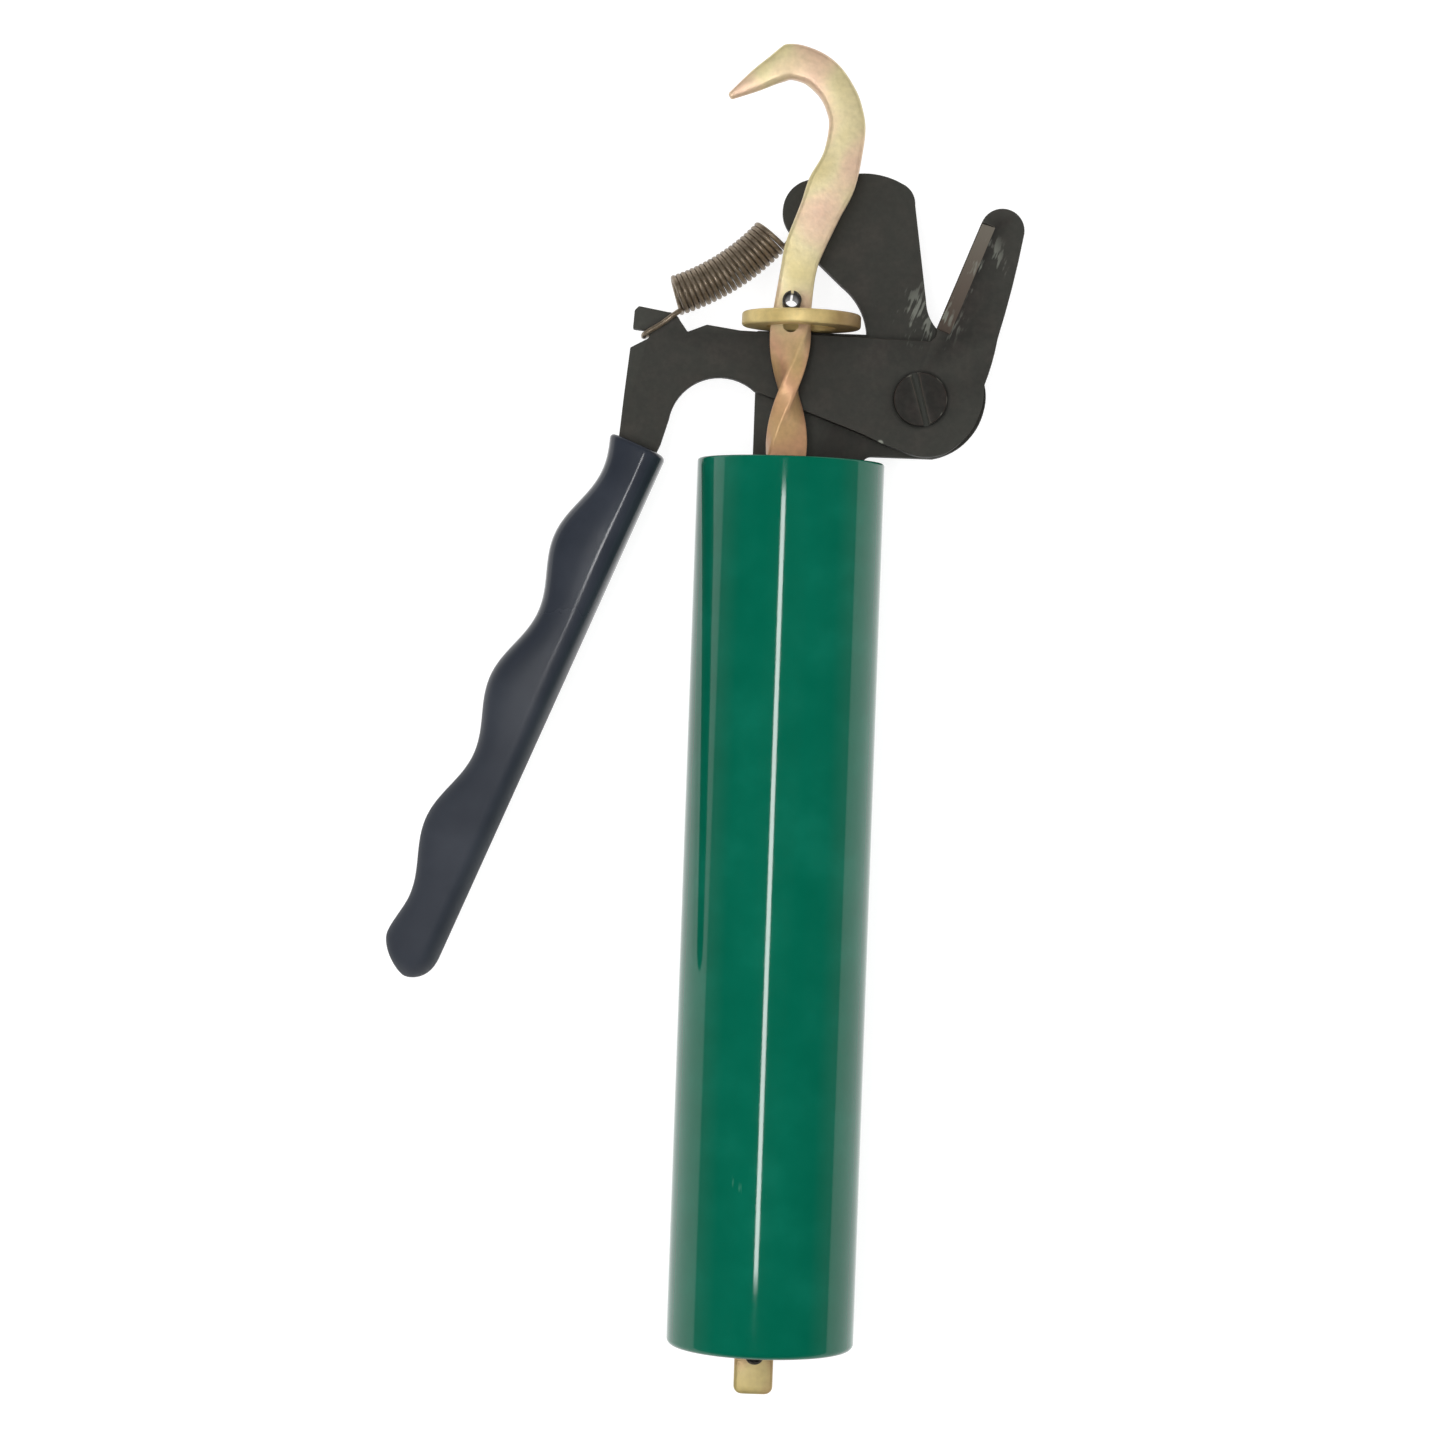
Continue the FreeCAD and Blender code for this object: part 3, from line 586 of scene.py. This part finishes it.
# %% Metals
def make_metal(name, tones, roughness, grain_mm, metal=1.0):
    finish, tree, shader, place = start_finish(name, Metallic=metal)
    grain = add(tree, "TexNoise", {"Vector": place, "Scale": per_mm(grain_mm), "Detail": 4}).outputs["Fac"]
    tone = add(tree, "ValToRGB", {0: grain}, stops=[(0.35, tones[0]), (0.65, tones[1])])
    tree.links.new(tone.outputs[0], shader.inputs["Base Color"])
    rough = add(tree, "MapRange", {"Value": grain, "To Min": roughness - 0.06, "To Max": roughness + 0.08})
    tree.links.new(rough.outputs[0], shader.inputs["Roughness"])
    return finish


spring_steel = make_metal("tempered_spring_wire", ["#7E705F", "#9A8B78"], 0.36, 0.8, 0.7)
pin_steel = make_metal("black_roll_pin", ["#3A3733", "#4E4A45"], 0.4, 0.8, 0.7)
bright_zinc = make_metal("bright_zinc", ["#B9BBBC", "#C9CBCC"], 0.3, 1.2, 0.85)
brass = make_metal("turned_brass", ["#C9A04A", "#D8B25C"], 0.25, 1.0)
print("made", spring_steel.name, pin_steel.name, bright_zinc.name, brass.name)

# %% [markdown]
# ## The handle tube
# A steel tube with its tail end rolled inwards, so that the spring seat can't fall out. Its wall is
# one closed profile on the lathe: outside, rolled lip, bore and mouth. Two pockets are drilled from
# the back for the screws that hold the cutter.

# %% Handle tube
def make_tube():
    """One closed profile turned round Y, and two pockets drilled from the back."""
    wall, lip_inset, lip_height = 1.5, 1.2, 1.4
    bore = tube_radius - wall
    profile = rounded_loop(
        [(tube_radius, 0), (tube_radius, tube_length), (bore, tube_length), (bore, lip_height),
         (bore - lip_inset, lip_height), (bore - lip_inset, 0)],
        [1.05, 0.4, 0.25, 0.3, 0.4, 0.4], steps=8)
    tube = lathe("green_handle_tube", profile, (0, 0, 0), (0, 1, 0), count=192)
    screws_low, screws_high = corners("tang_screws")
    pocket_radius = (screws_high[0] - screws_low[0]) / 2 + 0.05
    x = (screws_low[0] + screws_high[0]) / 2
    for y in (screws_low[1] + pocket_radius - 0.05, screws_high[1] - pocket_radius + 0.05):
        drill(tube, pocket_radius, (x, y, -tube_radius - 1), (x, y, screws_low[2] + 2))
    return bake_and_smooth(tube)


stand_in(make_tube(), "handle_tube", enamel)

# %% [markdown]
# ## The hook and its twisted bar
# One bar of steel is squashed flat, twisted while hot and bent to a hook. The whole length is one
# sweep of a rounded rectangle. Along the twist, station y turns by 2 pi y / pitch. Along the hook,
# pairs of points give the inner and the outer edge, so the width and the bend are drawn together, as
# a smith would chalk them. The corners are rounder on the inside of the bend and at the tip.

# %% A bar's sections
def bar_section(centre, across, through, width, depth, first_round, second_round, steps=5):
    """Rounded rectangles, one per station: half sizes less the corner's radius, plus a quarter circle
    at each corner. The first radius is for the two corners behind `across`, the second for those ahead."""
    signs = np.repeat([(-1, -1), (1, -1), (1, 1), (-1, 1)], steps, axis=0)
    quarter = np.linspace(0, np.pi / 2, steps)
    turn = np.concatenate([quarter + start for start in (np.pi, 1.5 * np.pi, 0, 0.5 * np.pi)])
    corner = np.where(signs[None, :, 0] < 0, first_round[:, None], second_round[:, None])
    a = signs[None, :, 0] * (width[:, None] / 2 - corner) + corner * np.cos(turn)
    b = signs[None, :, 1] * (depth[:, None] / 2 - corner) + corner * np.sin(turn)
    return centre[:, None, :] + a[..., None] * across[:, None, :] + b[..., None] * through[:, None, :]


bar_width, bar_thickness = 6.2, 3.0
pin_above_twist = 2.5
twist_top = bar_line[1] - pin_above_twist
print("bar", bar_width, "by", bar_thickness, "mm, twisted up to", round(twist_top, 2), "mm")

# %% [markdown]
# The lower part is the tail and the twist. The tail's end is rounded across its width, and its thin
# edges are eased, so its first stations are closer together than the rest.

# %% Tail and twist
def twisted_sections(turns=3.5, tail_corner=1.24, edge=0.35):
    """Sections of the tail and the twist: station y is turned by 2 pi turns (y - bottom) / (top - bottom)."""
    tail_y = corners("hook_rod")[0][1]
    twist_bottom = -tail_y
    end = tail_corner * (1 - np.cos(np.linspace(0, np.pi / 2, 9)))
    y = np.concatenate([tail_y + end, [twist_bottom], np.linspace(twist_bottom, twist_top, 280)[1:]])
    inset = np.clip(1 - (y - tail_y) / tail_corner, 0, 1)
    bevel = np.clip(1 - (y - tail_y) / edge, 0, 1)
    w = bar_width - 2 * tail_corner * (1 - np.sqrt(1 - inset ** 2))
    t = bar_thickness - 2 * edge * (1 - np.sqrt(1 - bevel ** 2))
    turn = 2 * np.pi * turns * np.clip((y - twist_bottom) / (twist_top - twist_bottom), 0, 1)
    zero = np.zeros_like(y)
    centre = np.stack([zero + bar_line[0], y, zero + bar_line[2]], axis=1)
    across = np.stack([np.cos(turn), zero, -np.sin(turn)], axis=1)
    through = np.stack([np.sin(turn), zero, np.cos(turn)], axis=1)
    corner = np.full_like(y, 0.5)
    return bar_section(centre, across, through, w, t, corner, corner)


# %% [markdown]
# The upper part is the shank and the hook. Each row of numbers is one chalk mark across the bar: the
# inner edge's x and y, then the outer edge's, measured from the middle of the twist's top.

# %% Shank and hook
def hook_sections():
    """Sections halfway between the two edges and as wide as their distance. The bar thins by 1.7 mm times
    tip^1.3, where tip goes from 0 to 1 over the last part of the hook."""
    pairs = [(-3.1, 0, 3.1, 0), (-2.5, 4, 3.4, 4.5), (-1.9, 8.2, 3.75, 7.4), (-1.26, 12.2, 4.5, 10.1),
             (0.89, 18.4, 7.0, 15.9), (2.17, 22.65, 9.35, 20.9), (4.21, 26.6, 10.4, 26.2),
             (4.98, 31.1, 10.78, 30.9), (4.48, 33.5, 9.96, 34.7), (3.57, 35.3, 8.75, 37.3),
             (2.34, 36.6, 6.58, 40.3), (0.81, 37.7, 3.9, 42.35), (-1.24, 38.2, 0.5, 43.6), (-2.3, 37.9, -2.1, 43.75),
             (-3.0, 37.65, -3.25, 43.1), (-4.1, 37.2, -4.8, 41.75), (-6.69, 36.1, -7.6, 39.35),
             (-10.5, 34.75, -11.1, 35.75)]
    edges = smooth_through(pairs, 7)[1:]
    inner = np.stack([edges[:, 0] + bar_line[0], edges[:, 1] + twist_top, 0 * edges[:, 0] + bar_line[2]], axis=1)
    outer = np.stack([edges[:, 2] + bar_line[0], edges[:, 3] + twist_top, 0 * edges[:, 0] + bar_line[2]], axis=1)
    share = np.linspace(0, 1, len(edges))
    tip = np.clip((share - 0.82) / 0.18, 0, 1)
    hook_width = np.linalg.norm(outer - inner, axis=1)
    depth = bar_thickness - 1.7 * tip ** 1.3
    outer_round = np.minimum(0.5 + 0.25 * np.clip(share * 3, 0, 1), 0.3 * np.minimum(hook_width, depth))
    inner_round = np.minimum(outer_round + 0.7 * np.clip(share * 2 - 1, 0, 1), 0.45 * np.minimum(hook_width, depth))
    # the half turns leave the section upside down, so the hook's section starts that way too
    flip = np.array([0, 0, -1.0]) + 0 * inner
    return bar_section((inner + outer) / 2, unit(inner - outer), flip, hook_width, depth, outer_round, inner_round)


# %% [markdown]
# The two parts are joined into one sweep. A smaller last section just past the end closes the point,
# and three holes are drilled: two for the roll pins, and an empty one just under the washer.

# %% The whole rod
def make_hook_rod():
    """The lower sections, the upper ones and the point in one sweep, with the holes taken out."""
    upper = hook_sections()
    last = upper[-1:]
    nose = last.mean(axis=1, keepdims=True)
    ahead = unit(nose - upper[-6:-5].mean(axis=1, keepdims=True)) * 0.25
    point = nose + 0.6 * (last - nose) + ahead
    rod = grid_piece("twisted_hook_rod", np.concatenate([twisted_sections(), upper, point]))
    pin_radius, spare_radius, spare_drop = 1.5, 1.3, 3.4
    spare = bar_line - [0, spare_drop, 0]
    through_bar = np.array([0, 0, 5])
    for hole, radius in ((bar_line, pin_radius), (middle("lower_stop_pin"), pin_radius), (spare, spare_radius)):
        drill(rod, radius, hole - through_bar, hole + through_bar)
    return bake_and_smooth(rod)


stand_in(make_hook_rod(), "hook_rod", hook_zinc)

# %% [markdown]
# ## Roll pins
# A roll pin is spring strip bent to a split tube, squeezed into its hole. Seen end on it is a dark
# ring with daylight through it. The strip's section goes round the pin's axis and stops short of a
# full turn, which leaves the slit towards the hook.

# %% Roll pins
def make_roll_pin(node, name):
    """The strip's section turned round Z, short of a full turn by slit / radius."""
    low, high = corners(node)
    radius, bore, slit = (high[0] - low[0]) / 2, 1.1, 0.5
    half = (high[2] - low[2]) / 2
    strip = rounded_loop([(radius, -half), (radius, half), (bore, half), (bore, -half)],
                         [0.22, 0.22, 0.1, 0.1], steps=4)
    opening = math.degrees(slit / radius)
    return bake_and_smooth(lathe(name, strip, middle(node), (0, 0, 1), 90 + opening / 2, 360 - opening, 48))


stand_in(make_roll_pin("upper_stop_pin", "roll_pin_upper"), "upper_stop_pin", pin_steel)
stand_in(make_roll_pin("lower_stop_pin", "roll_pin_lower"), "lower_stop_pin", pin_steel)

# %% [markdown]
# ## Stop washer
# A thick loose washer rides on the bar under the upper pin. Plated washers are tumbled, which
# rounds both rims. It is one rounded rectangle on the lathe.

# %% Stop washer
def make_stop_washer():
    """A rounded rectangle turned round Y."""
    low, high = corners("stop_washer")
    radius = (high[0] - low[0]) / 2
    half = (high[1] - low[1]) / 2
    ring_width = 4.06
    hole = radius - ring_width
    section = rounded_loop([(radius, -half), (radius, half), (hole, half), (hole, -half)], [0.45, 0.45, 0.3, 0.3])
    return bake_and_smooth(lathe("loose_stop_washer", section, middle("stop_washer"), (0, 1, 0), count=128))


stand_in(make_stop_washer(), "stop_washer", washer_zinc)

# %% [markdown]
# ## The dipped grip
# Along the grip, the inner side is straight and the outer side waves for three fingers:
# waist + swell (1 - cos(2 pi u / pitch)) / 2. Each cross-section has its crest near the inner side.
# From there the front slopes gently to the wavy side, and turns down steeply to the straight
# side, so one long line of light lies along the crest. The lever's tang is then cut out of it.

# %% Grip
def make_grip():
    """Half of a section: up to the crest as crest - (crest - inner) cos^0.9 and height sin^0.9, then down to
    the wavy side as a superellipse. The other half is its mirror image below."""
    origin = np.array([-21.34, 139.07])            # where the grip starts on the lever, and how it leans
    lean = math.radians(22.34)
    down = np.array([-math.sin(lean), -math.cos(lean)])
    out = np.array([-math.cos(lean), math.sin(lean)])
    waist, swell, pitch, groove = 8.45, 2.75, 25.0, 2.9
    top, end_bulge, end = -3.1, 84.6, 90.1
    inner_turns, front_turns = 84.9, 83            # where the inner side and the front start to round off
    rim, half_height, crest_inset = 0.8, 5.5, 3.1
    front_power = 3.64                             # a superellipse: 2 would be round, more is fuller
    rows = np.concatenate([top + rim * (1 - np.cos(np.linspace(0, np.pi / 2, 6))), np.linspace(top + 1.3, 80, 170),
                           80 + (end - 80) * np.sin(np.linspace(0.05, 0.497 * np.pi, 36))])
    wave = waist + swell * (1 - np.cos(2 * np.pi * (rows - groove) / pitch)) / 2
    ease = np.clip((rows - (groove + 3 * pitch)) / (end_bulge - groove - 3 * pitch), 0, 1)
    bulge = waist + 0.85 * ease ** 2 * (3 - 2 * ease)
    past = np.clip((rows - end_bulge) / (end - end_bulge), 0, 1)
    outer = np.where(rows < groove + 3 * pitch, wave, bulge - 5.3 * (1 - (1 - past ** 1.7) ** 0.77))
    turned = np.clip((rows - inner_turns) / (end - inner_turns), 0, 1)
    inner = 4.0 * (1 - (1 - turned ** 2.5) ** 0.547)
    shrink = rim * (1 - np.sqrt(1 - np.clip(1 - (rows - top) / rim, 0, 1) ** 2))
    outer = outer - shrink
    inner = inner + shrink
    ending = np.clip((rows - front_turns) / (end - front_turns), 0, 1)
    height = half_height * (1 - ending ** 2.6) ** 0.5 - shrink
    crest = inner + np.minimum(crest_inset, 0.45 * (outer - inner))
    # one half of a section: up the inner side to the crest, then down the front to the wavy side
    rise = np.linspace(0, np.pi / 2, 12, endpoint=False)[None, :]
    fall = np.linspace(0, np.pi / 2, 28)[None, :]
    n_rise = crest[:, None] - (crest - inner)[:, None] * np.cos(rise) ** 0.9
    z_rise = height[:, None] * np.sin(rise) ** 0.9
    reach = np.sin(fall)
    n_fall = crest[:, None] + (outer - crest)[:, None] * reach
    fullness = np.clip(1 - reach ** front_power, 0, 1) ** (1 / front_power)
    z_fall = height[:, None] * (1 - 0.13 * reach) * fullness
    n = np.concatenate([n_rise, n_fall], axis=1)
    z = np.concatenate([z_rise, z_fall], axis=1)
    n = np.concatenate([n, n[:, -2:0:-1]], axis=1)
    z = np.concatenate([z, -z[:, -2:0:-1]], axis=1)
    flat = origin + rows[:, None, None] * down + n[..., None] * out
    centre_z = (lever_front + lever_back) / 2
    points = np.concatenate([flat, (centre_z + z)[..., None]], axis=-1)
    grip = grid_piece("dipped_grip", points)
    cut(grip, welded_copy("lever_plate", "tang_space", edge=0))
    return grip


stand_in(make_grip(), "lever_grip", vinyl)

# %% [markdown]
# ## The lever spring
# A close-wound extension spring pulls the lever open. Its line bends a little because the ear and the
# lobe don't face each other, so the helix is wound about an arc: the arc's point, plus the coil radius
# along the arc's normal times cos, and along z times sin. Hooks at both ends are part of the same wire.

# %% Lever spring
def make_lever_spring():
    """A helix about an arc: arc point + coil radius (cos a times the normal + sin a times z)."""
    start, end = np.array([-19.4, 168.3]), np.array([-4.4, 178.5])
    bend = math.radians(29)
    turns, per_turn, wire_radius, coil_radius = 21, 28, 0.435, 2.865
    plate_mid = (lever_front + jaw_back) / 2
    chord = end - start
    heading = math.atan2(chord[1], chord[0]) - bend / 2
    arc_radius = np.linalg.norm(chord) / (2 * math.sin(bend / 2))
    t = np.linspace(0, 1, turns * per_turn + 1)
    direction = heading + bend * t
    normal = np.stack([-np.sin(direction), np.cos(direction), 0 * t], axis=1)
    middle_of_arc = np.append(start, plate_mid) + arc_radius * normal[0]
    line = middle_of_arc - arc_radius * normal
    a = (np.pi + 2 * np.pi * turns * t)[:, None]
    radial = np.cos(a) * normal + np.sin(a) * np.array([0, 0, 1.0])
    coil = line + coil_radius * radial
    front = lever_front + wire_radius + 0.12
    back = lever_back - wire_radius - 0.15
    notch = np.array([-24.25, 161.5])
    first, final = coil[0], coil[-1]
    ear_hook = [(notch[0] + 1.6, notch[1] + 1.3, back), (notch[0] + 0.25, notch[1] + 0.25, back),
                (notch[0] - 0.15, notch[1] - 0.1, plate_mid + 1.6), (notch[0] + 0.3, notch[1] + 0.25, front),
                (notch[0] + 2.8, notch[1] + 1.9, front), (first[0] - 0.55, first[1] - 0.3, front),
                (first[0] - 0.02, first[1] - 0.02, plate_mid + 1.7)]
    anchor = (1.5, 181.8)
    lobe_front = jaw_front + wire_radius + 0.15
    lobe_hook = [(final[0] + 0.15, final[1] + 0.3, lobe_front - 0.6), (final[0] + 1.4, final[1] + 2.0, lobe_front),
                 (anchor[0] - 0.45, anchor[1] - 0.6, lobe_front), (anchor[0], anchor[1], lobe_front - 0.6),
                 (anchor[0], anchor[1], jaw_back - 0.8)]
    left = smooth_through(ear_hook, 8)
    right = smooth_through(lobe_hook, 8)
    path = np.concatenate([left, coil, right])
    hint = np.concatenate([0 * left - normal[0], radial, 0 * right - normal[-1]])
    spring = bake_and_smooth(wire("lever_return_spring", path, wire_radius, hint))
    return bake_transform(spring)


stand_in(make_lever_spring(), "lever_spring", spring_steel)

# %% [markdown]
# ## The return spring
# Inside the tube a long soft spring pushes the bar home. It is a plain helix with its two end turns
# closed up, so it stands square.

# %% Return spring
def make_return_spring():
    """A helix: radius (cos a, sin a) across, and a rise that stands still over the first and last turn."""
    low_y = corners("thrust_washer")[1][1]
    high_y = corners("head_plug")[0][1]
    radius, wire_radius, turns, per_turn = 8.55, 0.45, 13, 36
    t = np.linspace(0, 1, turns * per_turn + 1)
    closed = 1 / turns
    rise = np.clip((t - closed) / (1 - 2 * closed), 0, 1)
    a = 2 * np.pi * turns * t
    flat_ends = wire_radius * (np.clip(t / closed, 0, 1) + np.clip((t - 1) / closed + 1, 0, 1)) - wire_radius
    y = low_y + wire_radius + (high_y - low_y - 2 * wire_radius) * rise
    y = np.clip(y + 2 * flat_ends * (rise < 0.5) * (rise > 0), low_y + wire_radius, high_y - wire_radius)
    radial = np.stack([np.cos(a), 0 * a, np.sin(a)], axis=1)
    path = np.stack([bar_line[0] + 0 * a, y, bar_line[2] + 0 * a], axis=1) + radius * radial
    return bake_and_smooth(wire("bar_return_spring", path, wire_radius, radial, sides=10))


return_spring = stand_in(make_return_spring(), "return_spring", bright_zinc)
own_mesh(return_spring)

# %% [markdown]
# ## Plates, screws and inner parts
# The rest keep the model's own shape. Each gets its welded copy, a bevel that suits how its edge was
# made, and its finish: stamped plates 0.3 mm, turned parts 0.2 mm and thin washers less. The slotted
# screws stay sharp, so that their slots read dark and crisp.

# %% The remaining pieces
welded = [
    ("fixed_jaw", "cutter_back_plate", 0.3, "black_oxide_steel", black_oxide),
    ("lever_plate", "cutter_front_plate", 0.3, "black_oxide_steel", black_oxide),
    ("pivot_screw", "slotted_pivot_screw", 0, "black_oxide_steel", black_oxide),
    ("pivot_shim", "pivot_shim_ring", 0.04, "brass", brass),
    ("pivot_washer", "pivot_nut_washer", 0.15, "bright_zinc_steel", bright_zinc),
    ("pivot_nut", "hexagon_pivot_nut", 0.2, "bright_zinc_steel", bright_zinc),
    ("head_plug", "turned_head_plug", 0.2, "bright_zinc_steel", bright_zinc),
    ("tang_screws", "slotted_tang_screws", 0, "bright_zinc_steel", bright_zinc),
    ("drive_nut", "twisted_drive_nut", 0.1, "brass", brass),
    ("nut_lock_pin", "drive_nut_dowel", 0.15, "spring_steel", spring_steel),
    ("spring_seat", "spring_seat_disc", 0.2, "bright_zinc_steel", bright_zinc),
    ("thrust_washer", "spring_thrust_washer", 0.12, "bright_zinc_steel", bright_zinc),
]
for node, name, edge, slot, material in welded:
    stand_in(welded_copy(node, name, edge), node, material)

# %% [markdown]
# ## Studio
# A plain white table, bright enough to wash its own shadow out, and soft light from all sides. The
# big lamps are hidden from mirror-like reflections, so they light the colours without milky
# patches. One narrow strip lamp is left to draw the thin bright line down the enamel. The sky is
# bright at the horizon and dim overhead, which is what the front of the tube mirrors.

# %% Table, sky and lamps
def make_table():
    size = 4000
    low_z = cad_box[0][2] / MM
    square = np.array([[(-size, -size, low_z), (size, -size, low_z)], [(-size, size, low_z), (size, size, low_z)]])
    table = grid_piece("table", square.astype(float), close_columns=False, caps=False)
    finish, tree, shader, place = start_finish("white_table", Roughness=0.9)
    cloud = add(tree, "TexNoise", {"Vector": place, "Scale": per_mm(60), "Detail": 2}).outputs["Fac"]
    shade = add(tree, "ValToRGB", {0: cloud}, stops=[(0.3, "#8A8A8A"), (0.7, "#909090")])
    tree.links.new(shade.outputs[0], shader.inputs["Base Color"])
    shader.inputs["Emission Color"].default_value = (1, 1, 1, 1)
    shader.inputs["Emission Strength"].default_value = 0.85
    table.data.materials.append(finish)
    if table.data.polygons[0].normal.z < 0:
        table.data.flip_normals()


def make_sky(overhead, horizon):
    world = bpy.data.worlds.new("studio")
    bpy.context.scene.world = world
    world.use_nodes = True
    tree = world.node_tree
    height = add(tree, "SeparateXYZ", {0: add(tree, "TexCoord").outputs["Generated"]}).outputs["Z"]
    sky = add(tree, "ValToRGB", {0: height}, stops=[(0.0, horizon), (0.1, horizon), (0.5, overhead)])
    tree.links.new(sky.outputs[0], tree.nodes["Background"].inputs["Color"])


def make_lamp(name, place, aim, size, watts, mirrored):
    """A rectangular lamp, in millimetres. A lamp that isn't mirrored lights matt surfaces only."""
    lamp_data = bpy.data.lights.new(name, "AREA")
    lamp_data.shape = "RECTANGLE"
    lamp_data.size, lamp_data.size_y = size[0] * MM, size[1] * MM
    lamp_data.energy = watts
    lamp = bpy.data.objects.new(name, lamp_data)
    lamp.location = Vector(place) * MM
    towards = (Vector(aim) - Vector(place)).normalized()
    lamp.rotation_euler = towards.to_track_quat("-Z", "X").to_euler()
    lamp.visible_glossy = mirrored
    bpy.context.scene.collection.objects.link(lamp)


make_table()
make_sky("#303030", "#8C8C8C")
make_lamp("overhead_soft", (-50, 150, 1100), (0, 100, 0), (900, 900), 8.2, False)
make_lamp("left_soft", (-800, 0, 700), (0, 100, 0), (500, 700), 3.2, False)
make_lamp("right_soft", (800, 250, 700), (0, 100, 0), (500, 700), 3.2, False)
make_lamp("strip", (-102, 50, 700), (-2, 50, 0), (60, 400), 1.25, True)
bpy.context.scene.view_settings.view_transform = "Standard"
